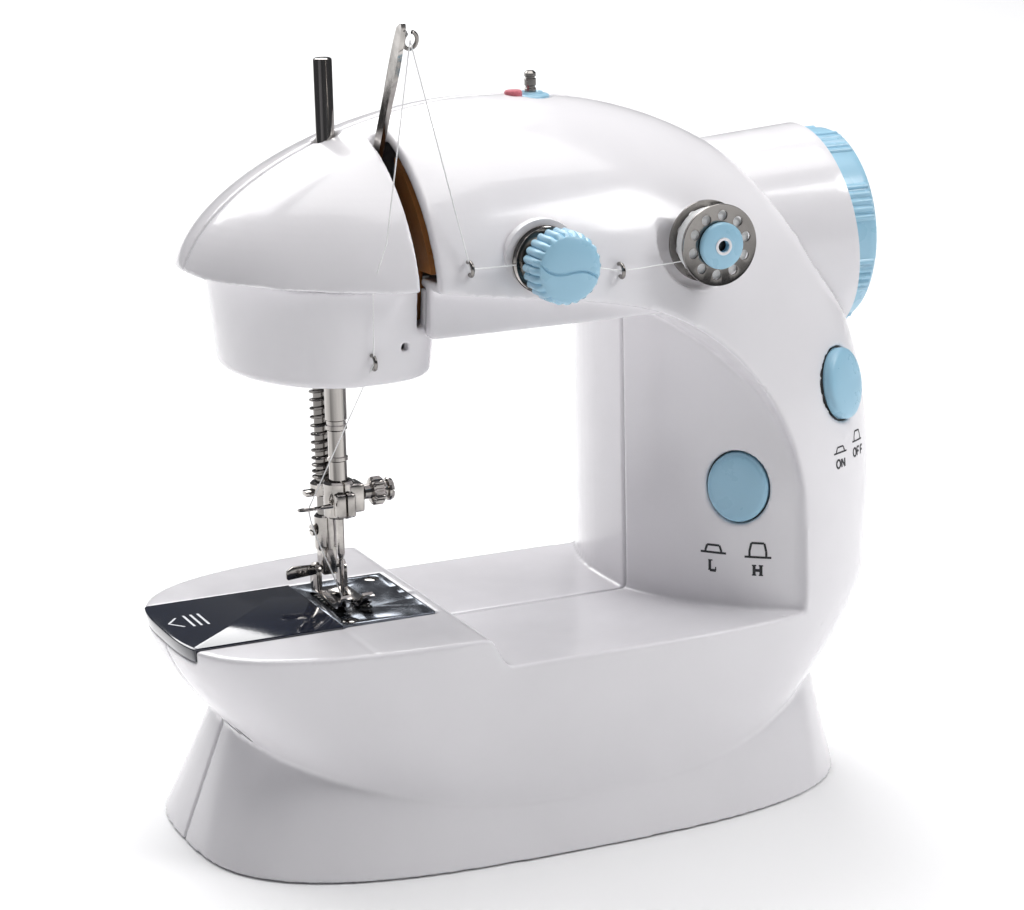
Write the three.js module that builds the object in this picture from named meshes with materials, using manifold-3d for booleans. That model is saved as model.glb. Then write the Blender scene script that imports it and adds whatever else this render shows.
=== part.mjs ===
// A hand-held-size electric sewing machine: boat-shaped base, C-shaped body, needle mechanism,
// take-up lever, thread tension, bobbin winder, handwheel, motor and lower hook.
// Millimetres, +Z up. +X points to the handwheel and -Y to the person sewing. The pieces are laid
// out from the seam where the two body shells meet at the left face of the column (x = 0, y = 0,
// z = 0 on the table), and the whole machine is then centred over its own outline.

import * as THREE from 'three';
import { mergeVertices } from 'three/addons/utils/BufferGeometryUtils.js';
import Module from 'manifold-3d';

const wasm = await Module();
wasm.setup();

// ---------------------------------------------------------------- driving dimensions
const GAP = 0.3;                 // clearance between pieces that touch
const WALL = 2.2;                // moulded shell wall

const base = { left: -126.3, right: 52.5, halfWidth: 53.8, exponent: 3, lean: 0.4, rightLean: 0.12,
  flare: 0.54, rim: 0.4, top: 36 };
const hull = { left: -129, right: 63, bottom: 3, top: 57, halfWidth: 47, bow: 0.0775, bowPower: 1.61 };
const bed = { floor: 49.2, step: -60, stepRun: 7 };
const head = { tip: -119.2, rim: 144.5, top: 184.5, crown: -43, halfWidth: 44, roundness: 1.74,
  frontCentre: -60, rimRise: 0.055 };
const column = { right: 65, widest: 80, roundness: 2.3, cornerX: 32.7, cornerY: -43.3 };
const arch = { centreX: -90, centreZ: 55, reach: 123.2, rise: 91, exponent: 2.65, soft: 0.6 };
const arm = { underside: 131.5, halfWidth: head.halfWidth - 6.7, right: 18, floorHalf: 26 };
const skirt = { bottom: 121, centre: -85, left: 23.5, right: 23.5, halfWidth: 34, splay: 0.1, wall: 2 };

const shaft = { z: 142, r: 3, left: -66, right: 62 };
const lowerShaft = { z: 38, r: 2.5, left: -86.6, right: 15.5 };
const shroud = { left: 22, right: 58, rLeft: 25.8, rRight: 28.7, end: 55.4, lean: 5.7, seat: 49, seatR: 27 };
const wheel = { left: 51.5, right: 62.8, r: 26.6, rim: 3, hubR: 7, web: 3 };
const needle = { x: -80.3, barR: 2.35, barTop: 196.7, barBottom: 79.8, tip: 51.5, travel: 22 };
const presser = { x: -80.3, y: 10.8, r: 2, top: 150, bottom: 70, springTop: 120.7, springBottom: 87,
  springR: 2.75, footZ: 57.3 };
const lifter = { y: 24, z: 133, reach: 23, halfWidth: 3, halfThick: 1.6, hubR: 3, pinR: 1.2 };
const lever = { x: -72, thick: 1.2, width: 3.6, pivotY: 12, pivotZ: 129.4, length: 90, lean: 29.8, pinR: 1.5 };
const slot = { left: -73.4, right: -68.8, back: -11.2, bottom: 134, skirtWidth: 2.2 };
const plate = { left: -88, right: -62.6, halfDepth: 19, thick: 1.4 };
const cover = { front: -20, rear: 19.5, thick: 3, rise: 0.4 };
const hook = { left: -99.5, right: -87, r: 13, wall: 1.6 };
const belt = { thick: 1.4, width: 4.6 };
const drive = { left: 8, right: 14, r: 10 };
const motor = { y: 10, z: 88, r: 13.8, left: 17, right: 43, pulleyR: 5, wheelR: 14, beltX: 44, beltRight: 50 };
const armFace = -head.halfWidth;   // foremost face of the arm, which the controls stand on
const tension = { x: -42, z: 150, knobR: 9, knobFront: armFace - 16, knobBack: armFace - 7, discR: 8.3,
  face: armFace + 0.6 };
const winder = { x: 3, z: 150, recessR: 12.4, floor: armFace + 5.2, bobbinR: 10.2, front: armFace - 6,
  back: armFace + 1.8, flange: 0.7, hubR: 5.8, drumR: 4.2 };
const spool = { x: -24.5, baseR: 4.8, pinR: 1.5, top: 189.5, seat: 182, bottom: 148.5 };
const thread = { r: 0.12, y: armFace - 1.55 };
const guide = { rIn: 1.1, rOut: 1.7, halfWide: 0.45, sink: 0.35 };
const button = { wide: 16.1, tall: 18.6, deep: 9, proud: 1.8, rim: 0.45 };
const speed = { x: 18.6, y: -30, z: 81.8, yaw: -42, pitch: 0 };
const power = { x: 47, y: -34.6, z: 107, yaw: 31, pitch: 9 };
const jack = { z: 68, r: 4.4, depth: 9, places: { dc_jack: 18, pedal_jack: 34 } };
const board = { left: 14, right: 42, bottom: 54, top: 92, thick: 1.6, inset: 9.5 };
const sole = { halfWidth: 4.6, toe: -10.8, heel: 10.8, thick: 1.3 };
const doorway = { left: -69, right: -52, halfDepth: 25, bottom: 132.9 };   // skirt to arm, inside
const crank = { left: -66.4, right: -63.2, r: 13, throw: 10.6, pinR: 1.8, pinEnd: -70.8 };
const floorPlate = { bottom: 1.2, top: 2.8 };
const battery = { left: -78, right: -20, halfWidth: 33, top: 18.5 };
const foot = { r: 6.5, x: 66, y: 33, centre: -37 };

// ---------------------------------------------------------------- materials
const paint = (color, roughness, metalness = 0) =>
  new THREE.MeshStandardMaterial({ color, roughness, metalness });
const white = paint(0xf1f1f3, 0.25);
const blue = paint(0x9cc3d9, 0.35);
const navy = paint(0x0e1420, 0.2);
const steel = paint(0xc3c3c0, 0.25, 1);
const chrome = paint(0xdcdcdc, 0.12, 1);
const amber = paint(0xa85a22, 0.45);
const rubber = paint(0x26262a, 0.8);
const black = paint(0x17171a, 0.45);
const grey = paint(0x6e7277, 0.5);
const green = paint(0x1e5a36, 0.5);

// ---------------------------------------------------------------- solid helpers
function signedVolume(geometry) {
  const p = geometry.attributes.position;
  const index = geometry.index;
  const [a, b, c] = [new THREE.Vector3(), new THREE.Vector3(), new THREE.Vector3()];
  let sum = 0;
  for (let i = 0; i < index.count; i += 3) {
    a.fromBufferAttribute(p, index.getX(i));
    b.fromBufferAttribute(p, index.getX(i + 1));
    c.fromBufferAttribute(p, index.getX(i + 2));
    sum += a.dot(b.cross(c));
  }
  return sum / 6;
}

// A three.js geometry as a solid, turned and moved after its shared corners are merged.
function solid(geometry, matrix) {
  const bare = geometry.clone();
  bare.deleteAttribute('normal');
  bare.deleteAttribute('uv');
  const merged = mergeVertices(bare, 1e-4);
  const index = Array.from(merged.index.array);
  if (signedVolume(merged) < 0) {
    for (let i = 0; i < index.length; i += 3) {
      [index[i], index[i + 1]] = [index[i + 1], index[i]];
    }
  }
  const body = new wasm.Manifold(new wasm.Mesh({
    numProp: 3,
    vertProperties: new Float32Array(merged.attributes.position.array),
    triVerts: new Uint32Array(index),
  }));
  return matrix ? body.transform(matrix.elements) : body;
}

const turnX = (angle) => new THREE.Matrix4().makeRotationX(angle);
const turnY = (angle) => new THREE.Matrix4().makeRotationY(angle);
const turnZ = (angle) => new THREE.Matrix4().makeRotationZ(angle);
const shift = (x, y, z) => new THREE.Matrix4().makeTranslation(x, y, z);

const join = (...solids) => solids.reduce((a, b) => a.add(b));
const cut = (body, ...tools) => tools.reduce((a, b) => a.subtract(b), body);

function toGeometry(manifold) {
  const mesh = manifold.getMesh();
  const geometry = new THREE.BufferGeometry();
  geometry.setAttribute('position', new THREE.BufferAttribute(new Float32Array(mesh.vertProperties), 3));
  geometry.setIndex(new THREE.BufferAttribute(new Uint32Array(mesh.triVerts), 1));
  geometry.computeVertexNormals();
  return geometry;
}

function block(x0, x1, y0, y1, z0, z1) {
  const geometry = new THREE.BoxGeometry(x1 - x0, y1 - y0, z1 - z0);
  return solid(geometry, shift((x0 + x1) / 2, (y0 + y1) / 2, (z0 + z1) / 2));
}

// A body of revolution from [radius, height] pairs, its axis along Z before it is turned.
function turned(profile, segments = 24, axis = 'z') {
  const geometry = new THREE.LatheGeometry(profile.map(([r, h]) => new THREE.Vector2(r, h)), segments);
  const upright = turnX(Math.PI / 2);
  if (axis === 'x') upright.premultiply(turnY(Math.PI / 2));
  if (axis === 'y') upright.identity();
  return solid(geometry, upright);
}

function rod(r, from, to, segments = 20, axis = 'z') {
  return turned([[0, from], [r, from], [r, to], [0, to]], segments, axis);
}

function ring(rIn, rOut, from, to, segments = 24, axis = 'z') {
  return turned([[rIn, from], [rOut, from], [rOut, to], [rIn, to], [rIn, from]], segments, axis);
}

// Extrude an outline drawn in X and Z through a stretch of Y.
function throughY(shape, y0, y1, curveSegments = 10) {
  const geometry = new THREE.ExtrudeGeometry(shape, { depth: y1 - y0, bevelEnabled: false, curveSegments });
  return solid(geometry, shift(0, y1, 0).multiply(turnX(Math.PI / 2)));
}

// Extrude an outline drawn in Y and Z through a stretch of X.
function throughX(shape, x0, x1, curveSegments = 10) {
  const geometry = new THREE.ExtrudeGeometry(shape, { depth: x1 - x0, bevelEnabled: false, curveSegments });
  return solid(geometry, shift(x0, 0, 0).multiply(turnZ(Math.PI / 2)).multiply(turnX(Math.PI / 2)));
}

function throughZ(shape, z0, z1, curveSegments = 10) {
  const geometry = new THREE.ExtrudeGeometry(shape, { depth: z1 - z0, bevelEnabled: false, curveSegments });
  return solid(geometry, shift(0, 0, z0));
}

// A stack of plan outlines, one per height, closed top and bottom.
function loft(levels, outline, sides) {
  const positions = [];
  const index = [];
  for (const z of levels) {
    const plan = outline(z);
    for (let i = 0; i < sides; i += 1) {
      const [x, y] = planPoint(plan, (i / sides) * 2 * Math.PI);
      positions.push(x, y, z);
    }
  }
  for (let k = 0; k + 1 < levels.length; k += 1) {
    for (let i = 0; i < sides; i += 1) {
      const a = k * sides + i;
      const b = k * sides + ((i + 1) % sides);
      index.push(a, b, b + sides, a, b + sides, a + sides);
    }
  }
  for (const [level, flip] of [[0, true], [levels.length - 1, false]]) {
    const centre = positions.length / 3;
    positions.push(outline(levels[level]).centre, 0, levels[level]);
    for (let i = 0; i < sides; i += 1) {
      const a = level * sides + i;
      const b = level * sides + ((i + 1) % sides);
      index.push(centre, flip ? b : a, flip ? a : b);
    }
  }
  const geometry = new THREE.BufferGeometry();
  geometry.setAttribute('position', new THREE.Float32BufferAttribute(positions, 3));
  geometry.setIndex(index);
  return solid(geometry);
}

// A point of a plan outline made of two superellipse halves that share a centre line.
function planPoint(plan, angle) {
  const c = Math.cos(angle);
  const s = Math.sin(angle);
  const reach = c < 0 ? plan.left : plan.right;
  const power = 2 / (c < 0 ? plan.leftExponent : plan.rightExponent);
  return [
    plan.centre + Math.sign(c) * reach * Math.abs(c) ** power,
    Math.sign(s) * plan.halfWidth * Math.abs(s) ** power,
  ];
}

const steps = (from, to, count) =>
  Array.from({ length: count + 1 }, (_, i) => from + ((to - from) * i) / count);
const ease = (t) => t * t * (3 - 2 * t);
const mix = (a, b, t) => a + (b - a) * t;
const superQuarter = (u, n) => Math.max(0, 1 - Math.min(1, Math.max(0, u)) ** n) ** (1 / n);

// ---------------------------------------------------------------- outlines of the body
// The bow of the hull: how far its ends draw in below the bed.
const bowAt = (z) => hull.bow * Math.max(0, hull.top - z) ** hull.bowPower;

function rightAt(z) {
  if (z <= hull.top) return hull.right - bowAt(z);
  if (z <= column.widest) {
    return mix(hull.right, column.right, ease((z - hull.top) / (column.widest - hull.top)));
  }
  const u = (z - column.widest) / (head.top - column.widest);
  return head.crown + (column.right - head.crown) * superQuarter(u, column.roundness);
}

// Plan outline of the C-shaped body at a height, drawn in by the given inset.
function bodyPlan(z, inset = 0) {
  const up = Math.max(0, Math.min(1, (z - head.rim) / (head.top - head.rim)));
  const arc = superQuarter(up, head.roundness);
  const between = Math.max(0, Math.min(1, (z - hull.top) / (head.rim - hull.top)));
  const turn = ease(Math.max(0, Math.min(1, (z - 90) / (head.rim - 90))));
  const hullCentre = (hull.left + hull.right) / 2;
  const centre = mix(mix(hullCentre, head.frontCentre, turn), head.crown, up);
  const left = z <= hull.top ? hull.left + bowAt(z)
    : z < head.rim ? mix(hull.left, head.tip, between)
      : head.crown - (head.crown - head.tip) * arc;
  const width = z < head.rim ? mix(hull.halfWidth, head.halfWidth, between) : head.halfWidth * arc;
  return {
    centre,
    left: Math.max(0.6, centre - left - inset),
    right: Math.max(0.6, rightAt(z) - centre - inset),
    halfWidth: Math.max(0.6, width - inset),
    leftExponent: mix(3.3, 2.1, between),
    rightExponent: mix(3.3, 3, between) - 0.8 * up,
  };
}

function basePlan(z, inset = 0) {
  const left = base.left + base.lean * z + inset;
  const right = base.right - base.rightLean * z - inset;
  return {
    centre: (left + right) / 2,
    left: (right - left) / 2,
    right: (right - left) / 2,
    halfWidth: base.halfWidth - base.flare * z - inset,
    leftExponent: base.exponent,
    rightExponent: base.exponent,
  };
}

function skirtPlan(z, inset = 0) {
  const spread = skirt.splay * (z - skirt.bottom) - inset;
  return {
    centre: skirt.centre,
    left: skirt.left + spread,
    right: skirt.right + spread,
    halfWidth: skirt.halfWidth + spread,
    leftExponent: 2,
    rightExponent: 3.3,
  };
}

const rimAt = (x) => head.rim - head.rimRise * (x - slot.left);

// Height of the arch that joins the arm to the column, at x, grown outwards.
function archPoint(t, grow) {
  const c = Math.cos(t) ** (2 / arch.exponent);
  const s = Math.sin(t) ** (2 / arch.exponent);
  const x = arch.centreX + (arch.reach + grow) * c;
  const curve = arch.centreZ + (arch.rise + grow) * s;
  const beam = 137.9 + grow - 0.149 * (x + 26.5);
  const z = curve - Math.log(1 + Math.exp(arch.soft * (curve - beam))) / arch.soft;
  return [x, z];
}

// The open sewing space seen from the front: over the bed, under the arm and left of the column.
function throatShape(grow = 0) {
  const shape = new THREE.Shape();
  const rest = bed.step + bed.stepRun;
  shape.moveTo(-170, hull.top - grow);
  shape.lineTo(bed.step - grow, hull.top - grow);
  shape.bezierCurveTo(bed.step + 3 - grow, hull.top - grow, rest - 4 - grow, bed.floor - grow,
    rest - grow, bed.floor - grow);
  const corner = arch.centreX + arch.reach + grow;
  shape.lineTo(corner, bed.floor - grow);
  for (const t of steps(0, 1.36, 18)) {
    const [x, z] = archPoint(t, grow);
    shape.lineTo(x, z);
  }
  shape.lineTo(slot.left, rimAt(slot.left) + grow);
  shape.lineTo(-170, rimAt(-170) + grow);
  return shape;
}

// Plan of the column left of the arch: a scooped panel in front and a rounded corner behind.
function columnShape(grow = 0) {
  const shape = new THREE.Shape();
  const x = -grow;
  shape.moveTo(x, 0);
  shape.quadraticCurveTo(7.7 + x, -26.9 + x * 0.6, 30.6 + x, -40.2 + x);
  shape.lineTo(column.cornerX + x, column.cornerY + x);
  shape.lineTo(column.cornerX + x, -70);
  shape.lineTo(80, -70);
  shape.lineTo(80, 70);
  shape.lineTo(24, 70);
  shape.quadraticCurveTo(x, 44, x, 12);
  return shape;
}

function ovalShape(wide, tall) {
  const shape = new THREE.Shape();
  shape.absellipse(0, 0, wide / 2, tall / 2, 0, 2 * Math.PI);
  return shape;
}

// An oval peg whose flat end faces the person sewing, turned to the face it sits in.
function facing(solidInZ, place) {
  const pitch = turnX(THREE.MathUtils.degToRad(-place.pitch));
  const yaw = turnZ(THREE.MathUtils.degToRad(place.yaw));
  const matrix = shift(place.x, place.y, place.z).multiply(yaw).multiply(pitch).multiply(turnX(Math.PI / 2));
  return solidInZ.transform(matrix.elements);
}

// ---------------------------------------------------------------- the scene
const machine = new THREE.Group();

function add(name, body, material, parent = machine) {
  const mesh = new THREE.Mesh(toGeometry(body), material);
  mesh.name = name;
  parent.add(mesh);
  return mesh;
}

function groupAt(x, y, z) {
  const group = new THREE.Group();
  group.position.set(x, y, z);
  machine.add(group);
  return group;
}

// ---------------------------------------------------------------- body shells
function bodyLevels(from, to) {
  const low = [0, 0.12, 0.26, 0.45, 0.7, 1].map((u) => mix(from, hull.top, u));
  const mid = steps(hull.top, head.rim, 4).slice(1);
  const dome = [0.2, 0.4, 0.6, 0.77, 0.9, 0.97].map((u) => mix(head.rim, to, u));
  return [...low, ...mid, ...dome, to];
}

function outerBody() {
  const trunk = loft(bodyLevels(hull.bottom, head.top), (z) => bodyPlan(z), 44);
  const throat = throughY(throatShape(), -90, 90);
  const foothold = loft([base.rim, 6, 14, 24, base.top], (z) => basePlan(z), 44);
  const core = throughZ(columnShape(), bed.floor - 4, arm.underside + 8).intersect(trunk);
  const band = block(slot.right, arm.right, -arm.halfWidth, arm.halfWidth, arm.underside, head.rim + 2);
  const besideSkirt = loft([skirt.bottom - 5, head.rim + 6], (z) => skirtPlan(z, -GAP), 28);
  return join(cut(trunk, throat), foothold, core, cut(band, besideSkirt));
}

function innerBody() {
  const trunk = loft(bodyLevels(hull.bottom + WALL, head.top - WALL), (z) => bodyPlan(z + WALL, WALL), 28);
  const throat = throughY(throatShape(WALL), -90, 90);
  const foothold = loft([-2, 8, 20, base.top - WALL], (z) => basePlan(z, WALL), 28);
  const core = throughZ(columnShape(-WALL), bed.floor - 8, arm.underside + 12).intersect(trunk);
  const band = block(slot.right + WALL, arm.right, WALL - arm.halfWidth, arm.halfWidth - WALL,
    arm.underside + WALL, head.rim + 4);
  const besideSkirt = loft([skirt.bottom - 5, head.rim + 8], (z) => skirtPlan(z, -GAP - WALL), 20);
  const inside = loft([head.rim - 6, head.rim + 9], (z) => bodyPlan(head.rim + 9, WALL), 28);
  const collar = loft([head.rim - 6, head.rim + 9], (z) => skirtPlan(z, skirt.wall), 24).intersect(inside);
  return join(cut(trunk, throat), foothold, core, cut(band, besideSkirt), collar);
}

function shroudTool(grow, from = shroud.left - 0.5, to = 80) {
  const profile = [[0, from], [shroud.rLeft + grow, from], [shroud.rRight + grow, shroud.right],
    [shroud.rRight + grow, to], [0, to]];
  return turned(profile, 32, 'x').translate([0, 0, shaft.z]);
}

const buttonHole = (place) => facing(
  throughZ(ovalShape(button.wide + 2 * button.rim, button.tall + 2 * button.rim), -14, 12, 14), place);

function coverPocket(grow) {
  return block(-150, plate.left + grow, cover.front - grow, cover.rear + grow,
    hull.top - cover.thick - grow, hull.top + 8);
}

function shellOpenings() {
  return join(
    rod(needle.barR + 0.9, 150, 200, 20).translate([needle.x, 0, 0]),
    block(slot.left, slot.right, -70, slot.back, slot.bottom, 200),
    rod(spool.baseR + GAP, 170, 200, 20).translate([spool.x, 0, 0]),
    rod(2.2, tension.face - 10, -30, 16, 'y').translate([tension.x, 0, tension.z]),
    rod(winder.recessR, -60, winder.floor, 32, 'y').translate([winder.x, 0, winder.z]),
    rod(2.4, -60, -20, 16, 'y').translate([winder.x, 0, winder.z]),
    shroudTool(GAP),
    buttonHole(speed),
    buttonHole(power),
    coverPocket(GAP),
    block(plate.left - GAP, plate.right + GAP, -plate.halfDepth - GAP, plate.halfDepth + GAP,
      hull.top - plate.thick - GAP, hull.top + 2),
    block(-106, plate.right - 4, -15, 15, 30, hull.top + 1),
    block(doorway.left, doorway.right, -doorway.halfDepth, doorway.halfDepth, doorway.bottom, head.rim + 4),
    ...Object.values(jack.places).map((x) => rod(jack.r + GAP, 20, 70, 20, 'y').translate([x, 0, jack.z])),
  );
}

function addShells() {
  const pocket = rod(winder.recessR + 1.8, armFace + 2.5, winder.floor + 1.8, 32, 'y')
    .translate([winder.x, 0, winder.z]);
  const hollow = cut(innerBody(), pocket);
  const shell = cut(outerBody(), hollow, shellOpenings());
  const front = block(-200, 200, -100, -GAP / 2, -10, 220);
  const rear = block(-200, 200, GAP / 2, 100, -10, 220);
  add('front_shell', largest(shell.intersect(front)), white);
  add('rear_shell', largest(shell.intersect(rear)), white);
}

function largest(body) {
  return body.decompose().sort((a, b) => b.volume() - a.volume())[0];
}

function addSkirt() {
  const levels = [skirt.bottom, skirt.bottom + 1.2, head.rim + 6];
  const plan = (z) => skirtPlan(z, z === skirt.bottom ? 1 : 0);
  const within = throughY(throatShape(-GAP), -90, 90);
  const cup = cut(loft(levels, plan, 32).intersect(within),
    loft([skirt.bottom + skirt.wall, head.rim + 8], (z) => skirtPlan(z, skirt.wall), 24),
    rod(needle.barR + 0.7, 100, 140, 20).translate([needle.x, 0, 0]),
    rod(presser.r + 0.5, 100, 140, 20).translate([presser.x, presser.y, 0]),
    block(doorway.left, doorway.right, -doorway.halfDepth, doorway.halfDepth, doorway.bottom, 200),
    block(presser.x - lifter.halfWidth - GAP, presser.x + lifter.halfWidth + GAP, lifter.y, 60,
      lifter.z - lifter.halfThick - 0.5, lifter.z + lifter.halfThick + 6),
    block(slot.right - slot.skirtWidth, slot.right, -60, slot.back, slot.bottom, 200));
  add('head_skirt', largest(cup), white);
}

function addShroud() {
  const inner = turned([[0, shroud.left + WALL], [shroud.rLeft - WALL, shroud.left + WALL],
    [shroud.seatR - 1, shroud.seat - 1], [shroud.seatR, shroud.seat], [shroud.seatR, 80], [0, 80]], 32, 'x')
    .translate([0, 0, shaft.z]);
  const leanBack = turnY(-THREE.MathUtils.degToRad(shroud.lean)).setPosition(shroud.end, 0, shaft.z);
  const beyondEnd = block(0, 30, -50, 50, -50, 50).transform(leanBack.elements);
  const shaftHole = rod(shaft.r + 0.8, -10, 200, 20, 'x').translate([0, 0, shaft.z]);
  const beltSlot = block(motor.beltX - 2.5, motor.beltRight + 2.5, -18, 18, 90, shaft.z);
  const outer = shroudTool(0, shroud.left, shroud.right);
  add('wheel_shroud', cut(outer, inner, shaftHole, beltSlot, beyondEnd), white);
}

// ---------------------------------------------------------------- base
function addBase() {
  const z0 = floorPlate.bottom;
  const z1 = floorPlate.top;
  const plateBody = loft([z0, z1], (z) => basePlan(z, WALL + 2 * GAP), 28);
  const bay = block(battery.left, battery.right, -battery.halfWidth, battery.halfWidth, 0, 10);
  add('base_plate', cut(plateBody, bay), white);
  add('battery_door', block(battery.left + GAP, battery.right - GAP, GAP - battery.halfWidth,
    battery.halfWidth - GAP, z0, z1), white);
  const holder = block(battery.left, battery.right, -battery.halfWidth + 1, battery.halfWidth - 1,
    z1 + GAP, battery.top);
  const cell = { left: battery.left + 3, right: battery.right - 3, r: 7.3, mouth: 7, pitch: 15.4 };
  const rows = [-1.5, -0.5, 0.5, 1.5].map((k) => k * cell.pitch);
  const bays = rows.map((y) => rod(cell.r, cell.left, cell.right, 16, 'x').translate([0, y, z1 + GAP + 6]));
  const mouths = rows.map((y) => block(cell.left, cell.right, y - cell.mouth, y + cell.mouth, z1, z1 + 6));
  add('battery_holder', cut(holder, ...bays, ...mouths), black);
  for (const [side, sx] of [['left', -1], ['right', 1]]) {
    for (const [place, sy] of [['front', -1], ['rear', 1]]) {
      const spot = groupAt(foot.centre + sx * foot.x, sy * foot.y, 0);
      add(`foot_${place}_${side}`, turned([[0, 0], [foot.r - 0.4, 0], [foot.r, z0 - GAP], [0, z0 - GAP]], 20),
        rubber, spot);
    }
  }
}

// ---------------------------------------------------------------- bed: needle plate, cover, feed dog
const rails = [-3.7, 3.7];

function addBed() {
  const top = hull.top + 0.2;
  const sheet = block(plate.left + GAP, plate.right, -plate.halfDepth, plate.halfDepth,
    hull.top - plate.thick, top);
  const needleHole = rod(1.7, 40, 70, 16).translate([needle.x, 0, 0]);
  const feedSlots = rails.map((dx) => block(needle.x + dx - 1.5, needle.x + dx + 1.5, -9, 11, 50, 60));
  add('needle_plate', cut(sheet, needleHole, ...feedSlots), steel);

  const outline = loft([hull.top - cover.thick, hull.top + cover.rise - 0.8, hull.top + cover.rise],
    (z) => bodyPlan(Math.min(z, hull.top), z > hull.top ? 0.8 : 0), 64);
  const cap = outline.intersect(coverPocket(0));
  const relief = block(-118, plate.left + 5, -15, 15, hull.top - cover.thick - 1, hull.top - 1.4);
  add('slide_cover', cut(cap, relief), navy);

  const bar = block(needle.x - 6, needle.x + 6, -7, 9, 50, 53);
  const teeth = rails.map((dx) => {
    const strip = block(needle.x + dx - 1, needle.x + dx + 1, -7, 9, 52, hull.top + 0.1);
    const valleys = steps(-5.6, 7.6, 6).map((y) => block(-200, 200, y - 0.6, y + 0.6, hull.top - 0.7, 70));
    return cut(strip, ...valleys);
  });
  const eye = rod(2.2, 40, 54, 16).translate([needle.x, 0, 0]);
  add('feed_dog', cut(join(bar, ...teeth), eye), steel);
}

// ---------------------------------------------------------------- lower mechanism
function addHook() {
  const at = groupAt(0, 0, lowerShaft.z);
  const cupR = hook.r - hook.wall;
  const cupBody = turned([[0, hook.right], [hook.r, hook.right], [hook.r, hook.left], [cupR, hook.left],
    [cupR, hook.right - 2], [0, hook.right - 2]], 20, 'x');
  const beak = block(hook.left - 1, hook.right - 3, -hook.r, 3, hook.r - 4, hook.r + 1);
  add('shuttle_hook', largest(cut(cupBody, beak)), chrome, at);
  const r = cupR - 0.8;
  const waist = 4.2;
  const left = hook.left + 0.4;
  const right = hook.right - 2.6;
  const reel = turned([[1.8, left], [r, left], [r, left + 0.9], [waist, left + 0.9], [waist, right - 0.9],
    [r, right - 0.9], [r, right], [1.8, right], [1.8, left]], 16, 'x');
  add('lower_bobbin', reel, steel, at);
  add('lower_shaft', rod(lowerShaft.r, lowerShaft.left, lowerShaft.right, 18, 'x'), steel, at);
  add('lower_pulley', pulley(drive.r, drive.left, drive.right, lowerShaft.r + GAP), black, at);
  const beam = block(-64, 4, -8, 8, -17.5, -14);
  const posts = [-62, -6].map((x) => block(x, x + 5, -7, 7, -15, 6));
  const bore = rod(lowerShaft.r + GAP, -70, 10, 20, 'x');
  add('lower_frame', cut(join(beam, ...posts), bore), grey, at);
}

function pulley(r, from, to, bore) {
  return turned([[bore, from], [r + 1.6, from], [r, from + 0.65], [r, to - 0.65], [r + 1.6, to], [bore, to],
    [bore, from]], 16, 'x');
}

// A flat belt round two pulleys in the YZ plane, from the outer tangent lines.
function beltLoop(a, b, thick) {
  const outline = (grow, Kind) => {
    const points = [];
    const run = Math.atan2(b.z - a.z, b.y - a.y);
    const reach = Math.hypot(b.y - a.y, b.z - a.z);
    const lift = Math.acos((a.r - b.r) / reach);
    const arc = (wheelAt, from, to) => {
      for (const t of steps(from, to, 9)) {
        const y = wheelAt.y + (wheelAt.r + grow) * Math.cos(t);
        const z = wheelAt.z + (wheelAt.r + grow) * Math.sin(t);
        points.push(new THREE.Vector2(y, z));
      }
    };
    arc(a, run + lift, run - lift + 2 * Math.PI);
    arc(b, run - lift, run + lift);
    return new Kind(points);
  };
  const shape = outline(thick, THREE.Shape);
  shape.holes.push(outline(0, THREE.Path));
  return shape;
}

function addBelts() {
  const driveRun = beltLoop({ y: 0, z: lowerShaft.z, r: drive.r + GAP }, { y: 0, z: shaft.z, r: drive.r + GAP },
    belt.thick);
  const middle = (drive.left + drive.right) / 2;
  add('drive_belt', throughX(driveRun, middle - belt.width / 2, middle + belt.width / 2), rubber);
  const motorRun = beltLoop({ y: motor.y, z: motor.z, r: motor.pulleyR + GAP },
    { y: 0, z: shaft.z, r: motor.wheelR + GAP }, belt.thick);
  const place = (motor.beltX + motor.beltRight) / 2;
  add('motor_belt', throughX(motorRun, place - belt.width / 2, place + belt.width / 2), rubber);
}

// ---------------------------------------------------------------- main shaft, wheel, crank, motor
function addMainShaft() {
  const at = groupAt(0, 0, shaft.z);
  add('main_shaft', rod(shaft.r, shaft.left, shaft.right, 20, 'x'), steel, at);
  add('upper_pulley', pulley(drive.r, drive.left, drive.right, shaft.r + GAP), black, at);
  add('wheel_pulley', pulley(motor.wheelR, motor.beltX, motor.beltRight, shaft.r + GAP), black, at);
  const rimIn = wheel.r - wheel.rim;
  const webLeft = wheel.right - wheel.web;
  add('handwheel', turned([[shaft.r + GAP, wheel.left], [wheel.hubR, wheel.left], [wheel.hubR, webLeft],
    [rimIn, webLeft], [rimIn, wheel.left], [wheel.r, wheel.left], [wheel.r, wheel.right - 2],
    [wheel.r - 2, wheel.right], [shaft.r + GAP, wheel.right], [shaft.r + GAP, wheel.left]], 28, 'x'), blue, at);
  const disc = ring(shaft.r + GAP, crank.r, crank.left, crank.right, 24, 'x');
  const pin = rod(crank.pinR, crank.pinEnd, crank.right, 12, 'x').translate([0, 0, -crank.throw]);
  add('crank_disc', join(disc, pin), steel, at);
}

function addMotor() {
  const at = groupAt(0, motor.y, motor.z);
  const boss = rod(4, motor.left - 1.6, motor.left + 1, 16, 'x');
  const can = join(rod(motor.r, motor.left, motor.right, 28, 'x'), boss);
  add('motor', join(can, rod(1.2, motor.right - 1, motor.beltRight + 1, 12, 'x')), steel, at);
  add('motor_pulley', pulley(motor.pulleyR, motor.beltX, motor.beltRight, 1.5), black, at);
}

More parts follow.
